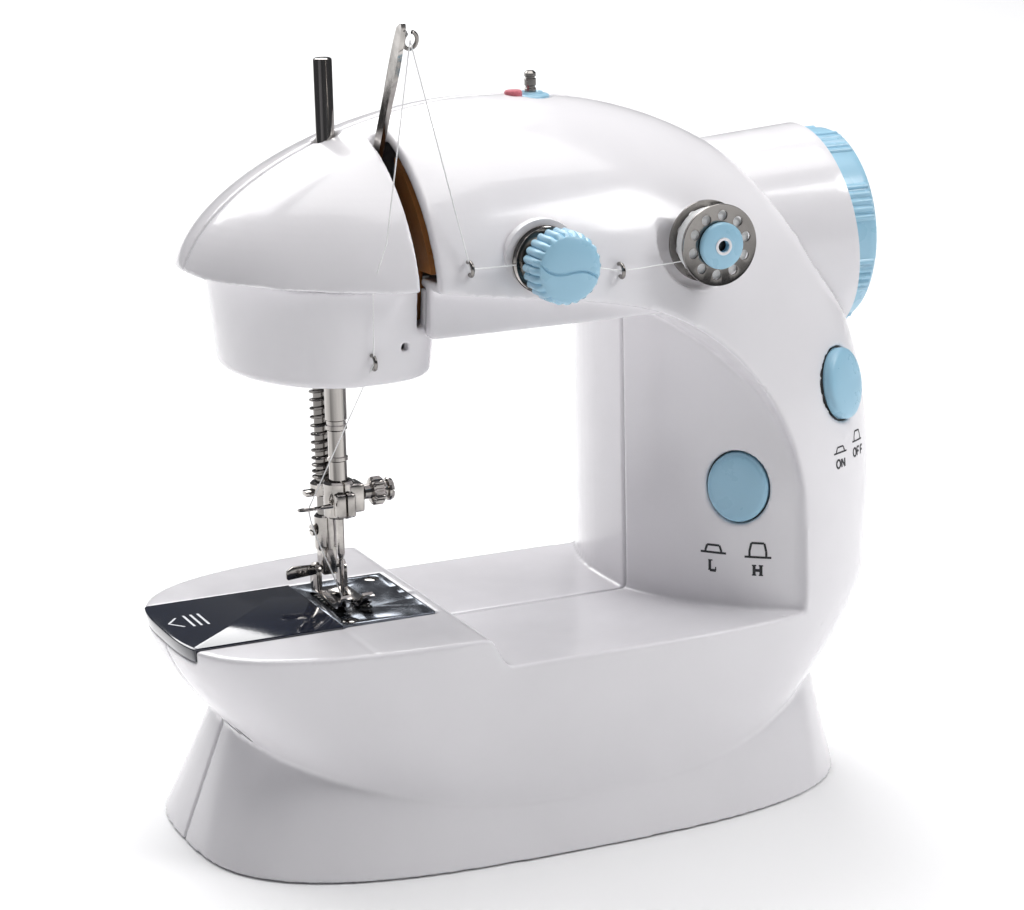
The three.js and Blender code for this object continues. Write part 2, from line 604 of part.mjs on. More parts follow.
function addChassis() {
  const z0 = arm.underside + WALL + 0.5;
  const half = Math.min(arm.floorHalf, arm.halfWidth - WALL - 4);
  const floor = block(doorway.right, 20.5, -half, half, z0, z0 + 2);
  const beltWay = block(drive.left - 2.5, drive.right + 2, -15, 15, z0 - 5, z0 + 8);
  const bearings = [[doorway.right, doorway.right + 5], [16.6, 20.5]]
    .map(([x0, x1]) => block(x0, x1, -7, 7, z0, shaft.z + 7));
  const bore = rod(shaft.r + GAP, -60, 30, 20, 'x').translate([0, 0, shaft.z]);
  const lug = join(
    block(-70.2, crank.left - 0.5, lever.pivotY - 1.6, lever.pivotY + 6, lever.pivotZ - 2, lever.pivotZ + 3),
    block(-70.2, crank.left - 0.5, lever.pivotY + 1, lever.pivotY + 6, lever.pivotZ - 2, z0 + 2),
    block(-70.2, -68.2, lever.pivotY + 5, lifter.y + 2, lifter.z - 2, z0 + 2),
    rod(lifter.pinR, presser.x - 4, -69, 12, 'x').translate([0, lifter.y, lifter.z]));
  const bracket = block(-70.2, doorway.right + 1, lever.pivotY + 1, lever.pivotY + 6, z0, z0 + 2);
  const pin = rod(lever.pinR, lever.x - 1.6, -68, 14, 'x').translate([0, lever.pivotY, lever.pivotZ]);
  const wallBack = 0.352 * armFace;
  const wallShape = new THREE.Shape();
  wallShape.moveTo(0.56 * armFace, z0);
  wallShape.lineTo(0.636 * armFace, 147.4);
  wallShape.lineTo(0.841 * armFace, 147.6);
  wallShape.quadraticCurveTo(0.75 * armFace, 158, 0.568 * armFace, 166);
  wallShape.quadraticCurveTo(0.455 * armFace, 171.4, wallBack, 173);
  wallShape.lineTo(wallBack, z0);
  const wall = throughX(wallShape, slot.right + 0.4, slot.right + 2, 6);
  const tie = block(slot.right + 0.4, doorway.right + 1, -24, -17, z0, z0 + 2);
  add('chassis', cut(join(floor, ...bearings, lug, bracket, pin, wall, tie), beltWay, bore), amber);
}

// ---------------------------------------------------------------- needle bar, presser, take-up lever
function addNeedleBar() {
  const at = groupAt(needle.x, 0, 0);
  const { barR, barTop, barBottom } = needle;
  const barBody = turned([[0, barBottom], [barR, barBottom], [barR, barTop - 0.5], [barR - 0.5, barTop],
    [0, barTop]], 20);
  add('needle_bar', barBody, chrome, at);
  const bore = rod(needle.barR + GAP, 60, 200, 20);
  const yokeZ = shaft.z - 10.6;
  const channel = block(1.6, 6, -13, 13, yokeZ - 2.3, yokeZ + 2.3);
  add('needle_bar_yoke', cut(block(-4, 4.2, -13.5, 7.6, yokeZ - 4, yokeZ + 4), bore, channel), steel, at);
  const screwBore = rod(1.6, 2, 8, 14, 'x').translate([0, 0, 85.4]);
  const clampBody = join(rod(4, 81, 89.5, 20), block(-4, 4, -6.5, 3, 81, 87.5),
    block(-12.5, -3, -5.4, -4.4, 83, 84.2));
  add('needle_clamp', cut(clampBody, bore, screwBore), chrome, at);
  const screw = turned([[0, barR + 0.5], [1.3, barR + 0.5], [1.3, 8.6], [3.4, 8.6], [3.7, 9.2], [3.7, 11.4],
    [2.2, 11.9], [2.2, 12.6], [3.2, 13], [3.2, 14.4], [0, 14.6]], 12, 'x');
  add('clamp_screw', screw.translate([0, 0, 85.4]), chrome, at);
  const butt = barBottom - GAP;
  const blade = turned([[0, needle.tip], [0.5, needle.tip + 5], [0.55, 68], [0.95, 69.5], [0.95, butt], [0, butt]], 12);
  add('needle', blade, chrome, at);
}

function addPresser() {
  const at = groupAt(presser.x, presser.y, 0);
  add('presser_bar', rod(presser.r, presser.bottom, presser.top, 18), chrome, at);
  const coil = ring(presser.r + GAP, presser.springR, presser.springBottom, presser.springTop, 18);
  add('presser_spring', coil, chrome, at);
  const bore = rod(presser.r + GAP, 60, 160, 18);
  const plateZ = presser.springBottom - GAP;
  const collar = join(rod(3.6, plateZ - 3.4, plateZ, 18), block(-5.5, 3, -1.6, 1.6, plateZ - 3.4, plateZ - 2));
  add('presser_collar', cut(collar, bore), chrome, at);
  const shank = join(rod(2.9, 68.5, 78, 18), block(-2, 2, -2.8, 2, 62.2, 70));
  const pivotBore = rod(0.9, -20, 20, 14, 'x').translate([0, -1, 64]);
  add('foot_shank', cut(shank, bore, pivotBore), chrome, at);
  addPresserFoot();
  addLifter();
}

function addLifter() {
  const at = groupAt(presser.x, lifter.y, lifter.z);
  const { halfWidth, halfThick, hubR, pinR, reach } = lifter;
  const handle = block(-halfWidth, halfWidth, 0, reach, -halfThick, halfThick);
  const nose = block(-halfWidth, halfWidth, -7.5, 0, -halfThick, halfThick);
  const hub = rod(hubR, -halfWidth, halfWidth, 16, 'x');
  const bore = rod(pinR + 0.25, -10, 10, 12, 'x');
  add('presser_lifter', cut(join(handle, nose, hub), bore), black, at);
}

function addPresserFoot() {
  const toe = new THREE.Shape();
  toe.moveTo(sole.toe, presser.footZ + 3.4);
  toe.quadraticCurveTo(sole.toe + 2.4, presser.footZ, sole.toe + 6.5, presser.footZ);
  toe.lineTo(sole.heel, presser.footZ);
  toe.lineTo(sole.heel, presser.footZ + sole.thick);
  toe.lineTo(sole.toe + 7, presser.footZ + sole.thick);
  toe.quadraticCurveTo(sole.toe + 3.2, presser.footZ + sole.thick, sole.toe + 1, presser.footZ + 4.4);
  const strip = throughX(toe, presser.x - sole.halfWidth, presser.x + sole.halfWidth, 5);
  const ears = [-4.2, 2.8].map((dx) => block(presser.x + dx, presser.x + dx + 1.4,
    presser.y - 3.6, presser.y + 1.6, presser.footZ + 1, 65.6));
  const pin = rod(0.6, presser.x - 4, presser.x + 4, 12, 'x').translate([0, presser.y - 1, 64]);
  const slit = block(presser.x - 1.6, presser.x + 1.6, -20, 3.2, 50, 70);
  add('presser_foot', cut(join(strip, ...ears, pin), slit), chrome);
}

function addLever() {
  const at = groupAt(lever.x, lever.pivotY, lever.pivotZ);
  at.rotation.x = THREE.MathUtils.degToRad(lever.lean);
  const half = lever.thick / 2;
  const strip = new THREE.Shape();
  strip.moveTo(-lever.width / 2, 0);
  strip.lineTo(-lever.width / 2, lever.length - 22);
  strip.quadraticCurveTo(-lever.width / 2 - 1, lever.length - 8, -1.1, lever.length);
  strip.lineTo(1.6, lever.length);
  strip.quadraticCurveTo(2.6, lever.length - 8, lever.width / 2, lever.length - 22);
  strip.lineTo(lever.width / 2, 0);
  const hub = rod(3.8, -half, half, 20, 'x');
  const bore = rod(lever.pinR + 0.25, -4, 4, 16, 'x');
  const eye = rod(0.75, -4, 4, 12, 'x').translate([0, -0.2, lever.length - 3]);
  add('take_up_lever', cut(join(throughX(strip, -half, half, 5), hub), bore, eye), chrome, at);
}

// ---------------------------------------------------------------- thread handling on the arm
function addTension() {
  const at = groupAt(tension.x, 0, tension.z);
  const face = tension.face;
  add('tension_stud', rod(1.5, tension.knobFront + 3, face + 7, 14, 'y'), steel, at);
  add('tension_disc_rear', ring(1.5 + GAP, tension.discR, face - 2, face - 1, 18, 'y'), chrome, at);
  add('tension_disc_front', ring(1.5 + GAP, tension.discR, face - 3.3, face - 2.3, 18, 'y'), chrome, at);
  add('tension_spring', ring(3.2, 4.2, tension.knobBack + GAP, face - 3.6, 14, 'y'), steel, at);
  const { knobR, knobFront, knobBack } = tension;
  const bore = 1.5 + GAP;
  const knob = turned([[0, knobFront], [7.6, knobFront], [knobR, knobFront + 1.2], [knobR, knobBack],
    [bore, knobBack], [bore, knobFront + 2.6], [0, knobFront + 2.6]], 24, 'y');
  add('tension_knob', knob, blue, at);
}

function addWinder() {
  const at = groupAt(winder.x, 0, winder.z);
  add('winder_spindle', rod(2, winder.front + 1, -24, 16, 'y'), steel, at);
  const { bobbinR, drumR, flange, front, back, hubR } = winder;
  const reel = turned([[2.3, front], [bobbinR, front], [bobbinR, front + flange], [drumR, front + flange],
    [drumR, back - flange], [bobbinR, back - flange], [bobbinR, back], [2.3, back], [2.3, front]], 20, 'y');
  const holes = steps(0, 0.9, 9).map((f) => rod(1.3, front - 1, back + 1, 6, 'y')
    .translate([7.6 * Math.cos(f * 2 * Math.PI), 0, 7.6 * Math.sin(f * 2 * Math.PI)]));
  add('winder_bobbin', cut(reel, ...holes), steel, at);
  const cap = turned([[1.45, front - 2.2], [hubR - 0.4, front - 2.2], [hubR, front - 1.8], [hubR, front - GAP],
    [1.45, front - GAP], [1.45, front - 2.2]], 18, 'y');
  add('winder_hub', cap, blue, at);
}

// A wire staple that stands off a face, its opening along X for the thread to pass.
function threadGuide(name, x, y, z) {
  const hoop = ring(guide.rIn, guide.rOut, -guide.halfWide, guide.halfWide, 14, 'x');
  const inFront = block(-5, 5, -5, guide.sink, -5, 5);
  add(name, hoop.intersect(inFront), steel, groupAt(x, y - guide.sink, z));
}

const guidePlaces = { right: [-21.6, 145.2], left: [-61.6, 149.6] };
const guideFace = armFace - 0.4;

function addGuides() {
  threadGuide('thread_guide_left', guidePlaces.left[0], guideFace, guidePlaces.left[1]);
  threadGuide('thread_guide_right', guidePlaces.right[0], guideFace, guidePlaces.right[1]);
  threadGuide('thread_guide_head', -83.6, GAP * -2 - skirt.halfWidth - skirt.splay * 6.4, 127.4);
}

// The thread along the arm: wound bobbin, right guide, round the stud between the discs, left guide.
function addThread() {
  const wrapR = 1.5 + GAP + thread.r;
  const wrap = steps(-0.2, -2.9, 6)
    .map((a) => [tension.x + wrapR * Math.cos(a), tension.z + wrapR * Math.sin(a)]);
  const start = [winder.x - winder.drumR - 1, winder.z - 3.6];
  const end = [guidePlaces.left[0] - 1.5, guidePlaces.left[1]];
  const run = [start, guidePlaces.right, ...wrap, guidePlaces.left, end];
  const pieces = run.map(([x, z]) => solid(new THREE.IcosahedronGeometry(thread.r, 0), shift(x, thread.y, z)));
  const lengths = run.slice(1).map(([x, z], i) => strand(run[i], [x, z]));
  add('upper_thread', join(...lengths, ...pieces), white);
}

function strand(a, b) {
  const reach = Math.hypot(b[0] - a[0], b[1] - a[1]);
  const tilt = turnY(Math.atan2(b[0] - a[0], b[1] - a[1])).setPosition(a[0], thread.y, a[1]);
  return rod(thread.r, 0, reach, 6).transform(tilt.elements);
}

function addSpool() {
  const at = groupAt(spool.x, 0, 0);
  const seat = spool.seat;
  add('spool_base', turned([[spool.pinR + GAP, seat - 3], [3.4, seat - 3], [3.4, seat], [spool.baseR, seat],
    [spool.baseR, seat + 1.4], [spool.baseR - 1.2, seat + 2.2], [spool.pinR + GAP, seat + 2.2],
    [spool.pinR + GAP, seat - 3]], 18), blue, at);
  add('spool_pin', turned([[0, spool.bottom], [spool.pinR, spool.bottom], [spool.pinR, spool.top - 0.5],
    [spool.pinR - 0.5, spool.top], [0, spool.top]], 16), chrome, at);
}

// ---------------------------------------------------------------- buttons, jacks, board
function addControls() {
  for (const [name, place] of [['speed_button', speed], ['power_button', power]]) {
    const stem = throughZ(ovalShape(button.wide, button.tall), -button.deep, button.proud - 0.9, 14);
    const crown = throughZ(ovalShape(button.wide - 1.6, button.tall - 1.6), button.proud - 1, button.proud, 14);
    add(name, facing(join(stem, crown), place), blue);
  }
  for (const [name, x] of Object.entries(jack.places)) {
    const at = groupAt(x, rearFace(x, jack.z), jack.z);
    const bodyTube = cut(rod(jack.r, -jack.depth, 0, 20, 'y'), rod(2.8, -jack.depth + 1.5, 1, 16, 'y'));
    add(name, bodyTube, black, at);
  }
  const back = rearFace(board.right, jack.z) - board.inset;
  const sheet = block(board.left, board.right, back - board.thick, back, board.bottom, board.top);
  add('circuit_board', sheet, green);
}

// Y of the rear face of the body at x and z.
function rearFace(x, z) {
  const plan = bodyPlan(z);
  const u = (x - plan.centre) / plan.right;
  return plan.halfWidth * (1 - u ** plan.rightExponent) ** (1 / plan.rightExponent);
}

addShells();
addSkirt();
addShroud();
addBase();
addBed();
addHook();
addBelts();
addMainShaft();
addMotor();
addChassis();
addNeedleBar();
addPresser();
addLever();
addTension();
addWinder();
addGuides();
addThread();
addSpool();
addControls();

// Stand the machine with the middle of its outline over the origin.
machine.updateMatrixWorld(true);
const outline = new THREE.Box3().setFromObject(machine, true);
machine.position.set(-(outline.min.x + outline.max.x) / 2, -(outline.min.y + outline.max.y) / 2, 0);

export default machine;
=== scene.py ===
import math

import bmesh
import bpy
from mathutils import Matrix, Vector
from mathutils.bvhtree import BVHTree


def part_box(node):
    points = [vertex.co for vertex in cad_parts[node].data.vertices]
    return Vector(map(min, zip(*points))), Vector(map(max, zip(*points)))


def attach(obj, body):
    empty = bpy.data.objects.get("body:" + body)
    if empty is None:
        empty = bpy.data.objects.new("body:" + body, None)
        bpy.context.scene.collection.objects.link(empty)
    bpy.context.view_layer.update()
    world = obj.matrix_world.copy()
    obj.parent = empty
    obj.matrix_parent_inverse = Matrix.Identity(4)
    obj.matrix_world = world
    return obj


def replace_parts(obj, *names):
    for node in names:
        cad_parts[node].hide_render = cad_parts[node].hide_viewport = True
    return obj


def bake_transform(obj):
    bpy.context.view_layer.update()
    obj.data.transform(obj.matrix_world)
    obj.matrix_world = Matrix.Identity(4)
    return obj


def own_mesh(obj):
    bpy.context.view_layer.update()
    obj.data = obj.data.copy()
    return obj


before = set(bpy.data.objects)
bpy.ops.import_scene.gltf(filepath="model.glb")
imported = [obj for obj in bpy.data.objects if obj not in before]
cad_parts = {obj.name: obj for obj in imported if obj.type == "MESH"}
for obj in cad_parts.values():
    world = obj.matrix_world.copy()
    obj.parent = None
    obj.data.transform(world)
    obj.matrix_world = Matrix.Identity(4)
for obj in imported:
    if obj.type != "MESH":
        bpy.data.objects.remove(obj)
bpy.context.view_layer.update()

MM = 0.001
GAP = 0.3
WALL = 2.2

# ------------------------------------------------------------------ sizes, as in the CAD (mm)
NEEDLE_X = -80.3
_low, _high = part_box("needle_bar")
SEAM = Vector(((_low.x + _high.x) / 2 - NEEDLE_X * MM, (_low.y + _high.y) / 2, 0))

BASE = dict(left=-126.3, right=52.5, half=53.8, power=3, lean=0.4, right_lean=0.12, flare=0.54, rim=0.4,
            top=36)
HULL = dict(left=-129, right=63, bottom=3, top=57, half=47, bow=0.0775, bow_power=1.61)
BED = dict(floor=49.2, step=-60, run=7)
HEAD = dict(tip=-119.2, rim=144.5, top=184.5, crown=-43, half=44, round=1.74, front=-60, rise=0.055)
COLUMN = dict(right=65, widest=80, round=2.3, corner=(32.7, -43.3))
ARCH = dict(x=-90, z=55, reach=123.2, rise=91, power=2.65, soft=0.6)
ARM = dict(under=131.5, half=37.3, left=-68.8, right=18)
SKIRT = dict(bottom=121, x=-85, left=23.5, right=23.5, half=34, splay=0.1, wall=2)
SLOT = dict(left=-73.4, right=-68.8, back=-11.2, bottom=134, skirt=2.2)
SHAFT_Z = 142
SHROUD = dict(left=22, right=58, r_left=25.8, r_right=28.7, end=55.4, lean=5.7, seat=49, seat_r=27)
WHEEL = dict(left=51.5, right=62.8, r=26.6, rim=3)
NEEDLE = dict(x=NEEDLE_X, r=2.35, top=196.7, bottom=79.8, tip=51.5)
PRESSER = dict(x=-80.3, y=10.8, r=2, top=150, bottom=70, spring_top=120.7, spring_bottom=87, foot=57.3)
LIFTER = dict(y=24, z=133, reach=23, half=3, thick=1.6)
LEVER = dict(x=-72, thick=1.2, y=12, z=129.4, length=90, lean=29.8)
PLATE = dict(left=-88, right=-62.6, half=19, thick=1.4)
COVER = dict(front=-20, rear=19.5, thick=3, rise=0.4)
TENSION = dict(x=-42, z=150, r=9, front=-60, back=-51, disc=8.3, face=-43.4)
WINDER = dict(x=3, z=150, recess=12.4, floor=-38.8, r=10.2, front=-50, back=-42.2, flange=0.7, hub=5.8,
              drum=4.2)
SPOOL = dict(x=-24.5, base=4.8, pin=1.5, top=189.5, seat=182, bottom=148.5)
BUTTON = dict(wide=16.1, tall=18.6, deep=9, proud=1.8, rim=0.45)
SPEED = dict(x=18.6, y=-30, z=81.8, yaw=-42, pitch=0)
POWER = dict(x=47, y=-34.6, z=107, yaw=31, pitch=9)
JACKS = dict(z=68, r=4.4, places={"dc_jack": 18, "pedal_jack": 34})
SOLE = dict(half=4.6, toe=-10.8, heel=10.8)
FEET = dict(x=-37, along=66, across=33)
DOOR = dict(left=-77.7, right=-20.3, half=32.7, low=1.2, high=2.8)
BEAM = dict(x=-26.5, z=137.9, slope=0.149)      # underside of the arm over the sewing space
THREAD_R = 0.17
PRINT_REACH = 14
PRINT_LIFT = 0.00005                            # metres above the moulding


# ------------------------------------------------------------------ materials
def shader(name, color, rough, metallic=0.0, coat=0.0):
    """A Principled material; returns the material and its shader node."""
    mat = bpy.data.materials.new(name)
    mat.use_nodes = True
    bsdf = mat.node_tree.nodes["Principled BSDF"]
    bsdf.inputs["Base Color"].default_value = (*color, 1)
    bsdf.inputs["Roughness"].default_value = rough
    bsdf.inputs["Metallic"].default_value = metallic
    bsdf.inputs["Coat Weight"].default_value = coat
    bsdf.inputs["Coat Roughness"].default_value = 0.08
    bsdf.inputs["IOR"].default_value = 1.5
    return mat, bsdf


def noise(mat, scale, detail=4, stretch=(1, 1, 1)):
    """Noise in object space; scale is in features per metre."""
    nodes, links = mat.node_tree.nodes, mat.node_tree.links
    coords = nodes.new("ShaderNodeTexCoord")
    mapping = nodes.new("ShaderNodeMapping")
    mapping.inputs["Scale"].default_value = stretch
    texture = nodes.new("ShaderNodeTexNoise")
    texture.inputs["Scale"].default_value = scale
    texture.inputs["Detail"].default_value = detail
    links.new(coords.outputs["Object"], mapping.inputs["Vector"])
    links.new(mapping.outputs["Vector"], texture.inputs["Vector"])
    return texture.outputs["Fac"]


def vary_color(mat, bsdf, source, low, high):
    nodes, links = mat.node_tree.nodes, mat.node_tree.links
    ramp = nodes.new("ShaderNodeValToRGB")
    ramp.color_ramp.elements[0].position = 0.3
    ramp.color_ramp.elements[1].position = 0.7
    ramp.color_ramp.elements[0].color = (*low, 1)
    ramp.color_ramp.elements[1].color = (*high, 1)
    links.new(source, ramp.inputs["Fac"])
    links.new(ramp.outputs["Color"], bsdf.inputs["Base Color"])


def vary_rough(mat, bsdf, source, low, high):
    nodes, links = mat.node_tree.nodes, mat.node_tree.links
    span = nodes.new("ShaderNodeMapRange")
    span.inputs["From Min"].default_value = 0.3
    span.inputs["From Max"].default_value = 0.7
    span.inputs["To Min"].default_value = low
    span.inputs["To Max"].default_value = high
    links.new(source, span.inputs["Value"])
    links.new(span.outputs["Result"], bsdf.inputs["Roughness"])


def bump(mat, bsdf, source, height):
    """Surface relief of the given height in metres."""
    nodes, links = mat.node_tree.nodes, mat.node_tree.links
    relief = nodes.new("ShaderNodeBump")
    relief.inputs["Strength"].default_value = 1.0
    relief.inputs["Distance"].default_value = height
    links.new(source, relief.inputs["Height"])
    links.new(relief.outputs["Normal"], bsdf.inputs["Normal"])


def plastic(name, color, rough=(0.16, 0.26), tone=0.03, grain=900, relief=0.000012, coat=0.3):
    """Moulded plastic: faint flow marks in tone and gloss, and a fine orange-peel surface."""
    mat, bsdf = shader(name, color, rough[0], coat=coat)
    vary_color(mat, bsdf, noise(mat, 22), [c * (1 - tone) for c in color],
               [min(1, c * (1 + tone)) for c in color])
    vary_rough(mat, bsdf, noise(mat, 140, 6), *rough)
    bump(mat, bsdf, noise(mat, grain, 2), relief)
    return mat


def metal(name, color, rough, stretch=(1, 1, 1), grain=1400, relief=0.000006, tone=0.08, patch=60):
    """Plated or brushed metal: drawn along its grain when stretch is uneven, with colour patches that are fine
    handling marks at a low tone and painted reflections at a high tone.
    """
    mat, bsdf = shader(name, color, rough[0], metallic=1)
    # colour patches: handling marks at a low tone; at a high tone, painted reflections standing in for dark
    # surroundings mirrored in the metal
    vary_color(mat, bsdf, noise(mat, patch, 5, stretch), [c * (1 - tone) for c in color], color)
    vary_rough(mat, bsdf, noise(mat, 320, 6, stretch), *rough)
    bump(mat, bsdf, noise(mat, grain, 3, stretch), relief)
    return mat


def rubbery(name, color, rough=(0.65, 0.85)):
    mat, bsdf = shader(name, color, rough[0])
    vary_color(mat, bsdf, noise(mat, 180), [c * 0.8 for c in color], [c * 1.3 for c in color])
    vary_rough(mat, bsdf, noise(mat, 500), *rough)
    bump(mat, bsdf, noise(mat, 2600, 3), 0.00004)
    return mat


def fibre(name, color, scale=5200):
    """Felt or twisted thread: a soft sheen over a hairy relief."""
    mat, bsdf = shader(name, color, 0.9)
    bsdf.inputs["Sheen Weight"].default_value = 0.5
    bsdf.inputs["Sheen Roughness"].default_value = 0.4
    vary_color(mat, bsdf, noise(mat, scale, 5), [c * 0.84 for c in color], [min(1, c * 1.1) for c in color])
    bump(mat, bsdf, noise(mat, scale, 5), 0.00004)
    return mat


WHITE = plastic("white_gloss_plastic", (0.84, 0.825, 0.85))
BLUE = plastic("light_blue_plastic", (0.34, 0.59, 0.75), rough=(0.24, 0.36), tone=0.04, coat=0.15)
NAVY = plastic("navy_clear_plastic", (0.006, 0.010, 0.024), rough=(0.05, 0.12), tone=0.3, coat=0.8)
AMBER = plastic("amber_frame_plastic", (0.42, 0.17, 0.05), rough=(0.25, 0.45), tone=0.2, relief=0.00003)
BLACK = plastic("black_plastic", (0.018, 0.018, 0.02), rough=(0.35, 0.5), tone=0.2, relief=0.00003,
                coat=0.0)
GREY = plastic("cast_grey", (0.32, 0.33, 0.35), rough=(0.45, 0.6), tone=0.1, grain=700, relief=0.00005,
               coat=0.0)
GREEN = plastic("board_green", (0.02, 0.13, 0.05), rough=(0.3, 0.45), tone=0.25)
INK = plastic("printed_ink", (0.03, 0.03, 0.035), rough=(0.5, 0.65), tone=0.2, coat=0.0)
PRINT_WHITE = plastic("printed_white", (0.75, 0.77, 0.8), rough=(0.5, 0.65), coat=0.0)
# painted reflections: strong dark colour patches (tone 0.45) stand in for the dark surroundings mirrored in the
# plating
CHROME = metal("nickel_plate", (0.58, 0.55, 0.52), (0.06, 0.16), tone=0.45, patch=260)
# painted reflection: strong dark streaks along the bar (tone 0.8) stand in for the reflections in the chrome
PAINTED_STREAK_BAR_CHROME = metal("drawn_nickel_plate", (0.6, 0.57, 0.54), (0.06, 0.14), stretch=(1, 1, 0.02), tone=0.8,
                   patch=420)
DARK_NICKEL = metal("dark_nickel", (0.3, 0.285, 0.27), (0.1, 0.24), tone=0.3)
STEEL = metal("brushed_steel", (0.46, 0.46, 0.45), (0.22, 0.42), stretch=(0.15, 1, 1), relief=0.000012)
# painted reflections: strong colour patches (tone 0.6) on the needle plate stand in for its reflections
MIRROR_STEEL = metal("polished_plate_steel", (0.32, 0.35, 0.4), (0.12, 0.3), stretch=(1, 0.4, 1), tone=0.6,
                     patch=140)
RUBBER = rubbery("black_rubber", (0.03, 0.03, 0.032))
FELT = fibre("pink_felt", (0.62, 0.16, 0.2), 2600)
THREAD = fibre("white_thread", (0.95, 0.95, 0.95))


# ------------------------------------------------------------------ mesh helpers (millimetres)
def new_object(name, verts, faces):
    mesh = bpy.data.meshes.new(name)
    mesh.from_pydata([tuple(v) for v in verts], [], faces)
    mesh.validate()
    obj = bpy.data.objects.new(name, mesh)
    bpy.context.scene.collection.objects.link(obj)
    work = bmesh.new()
    work.from_mesh(mesh)
    bmesh.ops.recalc_face_normals(work, faces=work.faces)
    work.to_mesh(mesh)
    work.free()
    return obj


AXES = {"x": (1, 2, 0), "y": (0, 2, 1), "z": (0, 1, 2)}


def along(axis, u, v, w):
    """A point from two plane coordinates and a height, for the plane square to the axis."""
    point = [0, 0, 0]
    order = AXES[axis]
    point[order[0]], point[order[1]], point[order[2]] = u, v, w
    return point


def prism(outline, low, high, axis="z"):
    n = len(outline)
    verts = [along(axis, u, v, low) for u, v in outline] + [along(axis, u, v, high) for u, v in outline]
    faces = [tuple(range(n - 1, -1, -1)), tuple(range(n, 2 * n))]
    faces += [(i, (i + 1) % n, n + (i + 1) % n, n + i) for i in range(n)]
    return new_object("prism", verts, faces)


def block(x0, x1, y0, y1, z0, z1):
    return prism([(x0, y0), (x1, y0), (x1, y1), (x0, y1)], z0, z1)


def turned(profile, sides=48, axis="z", at=(0, 0, 0), swell=None):
    """A body of revolution from (radius, height) pairs; swell(angle, radius) may reshape its radius."""
    closed = profile[0] == profile[-1]
    points = profile[:-1] if closed else profile
    verts, rings = [], []
    for r, h in points:
        if r < 1e-6:
            rings.append([len(verts)])
            verts.append(along(axis, 0, 0, h))
            continue
        ring = []
        for i in range(sides):
            a = 2 * math.pi * i / sides
            reach = swell(a, r) if swell else r
            ring.append(len(verts))
            verts.append(along(axis, reach * math.cos(a), reach * math.sin(a), h))
        rings.append(ring)
    faces = []
    pairs = list(zip(rings, rings[1:] + rings[:1])) if closed else list(zip(rings, rings[1:]))
    for a, b in pairs:
        for i in range(sides):
            j = (i + 1) % sides
            if len(a) == 1 and len(b) == 1:
                continue
            if len(a) == 1:
                faces.append((a[0], b[j], b[i]))
            elif len(b) == 1:
                faces.append((a[i], a[j], b[0]))
            else:
                faces.append((a[i], a[j], b[j], b[i]))
    obj = new_object("turned", verts, faces)
    return shift(obj, *at)


def rod(r, low, high, axis="z", at=(0, 0, 0), sides=32):
    return turned([(0, low), (r, low), (r, high), (0, high)], sides, axis, at)


def shift(obj, x, y, z):
    obj.data.transform(Matrix.Translation((x, y, z)))
    return obj


def tube(points, r, sides=10):
    """A round wire along points, with frames carried from one point to the next."""
    path = [Vector(p) for p in points]
    n = len(path)
    normal = None
    verts, faces = [], []
    for i, p in enumerate(path):
        ahead = path[min(i + 1, n - 1)]
        behind = path[max(i - 1, 0)]
        tangent = (ahead - behind).normalized()
        if normal is None:
            normal = tangent.orthogonal().normalized()
        normal = (normal - tangent * normal.dot(tangent)).normalized()
        side = tangent.cross(normal)
        for k in range(sides):
            a = 2 * math.pi * k / sides
            verts.append(p + r * (normal * math.cos(a) + side * math.sin(a)))
    for i in range(n - 1):
        for k in range(sides):
            a, b = i * sides + k, i * sides + (k + 1) % sides
            faces.append((a, b, b + sides, a + sides))
    faces.append(tuple(range(sides - 1, -1, -1)))
    faces.append(tuple(range((n - 1) * sides, n * sides)))
    return new_object("tube", verts, faces)


def settled(obj):
    """Apply an object's modifiers into its mesh."""
    graph = bpy.context.evaluated_depsgraph_get()
    mesh = bpy.data.meshes.new_from_object(obj.evaluated_get(graph))
    obj.modifiers.clear()
    obj.data = mesh
    return obj


def combine(target, operation, *tools):
    for tool in tools:
        step = target.modifiers.new(operation.lower(), "BOOLEAN")
        step.operation = operation
        step.object = tool
        step.solver = "MANIFOLD"
    settled(target)
    for tool in tools:
        bpy.data.objects.remove(tool)
    return target


def join(first, *rest):
    return combine(first, "UNION", *rest)


def cut(first, *rest):
    return combine(first, "DIFFERENCE", *rest)


def meet(first, *rest):
    return combine(first, "INTERSECT", *rest)


def copy_of(obj):
    twin = bpy.data.objects.new(obj.name, obj.data.copy())
    bpy.context.scene.collection.objects.link(twin)
    return twin


def rounded(obj, width, segments=2, angle=35):
    """Break the sharp edges with a small rounded bevel."""
    mod = obj.modifiers.new("bevel", "BEVEL")
    mod.width = width
    mod.segments = segments
    mod.limit_method = "ANGLE"
    mod.angle_limit = math.radians(angle)
    mod.use_clamp_overlap = True
    return settled(obj)


def softened(obj, voxel, passes, keep):
    """Round every edge of a moulding: even out the mesh, relax it and thin it again."""
    grid = obj.modifiers.new("grid", "REMESH")
    grid.mode = "VOXEL"
    grid.voxel_size = voxel
    relax = obj.modifiers.new("relax", "SMOOTH")
    relax.factor = 0.5
    relax.iterations = passes
    thin = obj.modifiers.new("thin", "DECIMATE")
    thin.ratio = keep
    return settled(obj)


def finish(obj, name, body, material, slot, *nodes, angle=35):
    """Name a piece, move it into the row frame, shade it, and hang it on its body."""
    obj.name = name
    obj.data.name = name
    obj.data.transform(Matrix.Translation(SEAM) @ Matrix.Scale(MM, 4))
    obj.data.polygons.foreach_set("use_smooth", [True] * len(obj.data.polygons))
    obj.data.set_sharp_from_angle(angle=math.radians(angle))
    obj.data.materials.clear()
    obj.data.materials.append(material)
    if body:
        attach(obj, body)
    if nodes:
        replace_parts(obj, *nodes)
    return obj


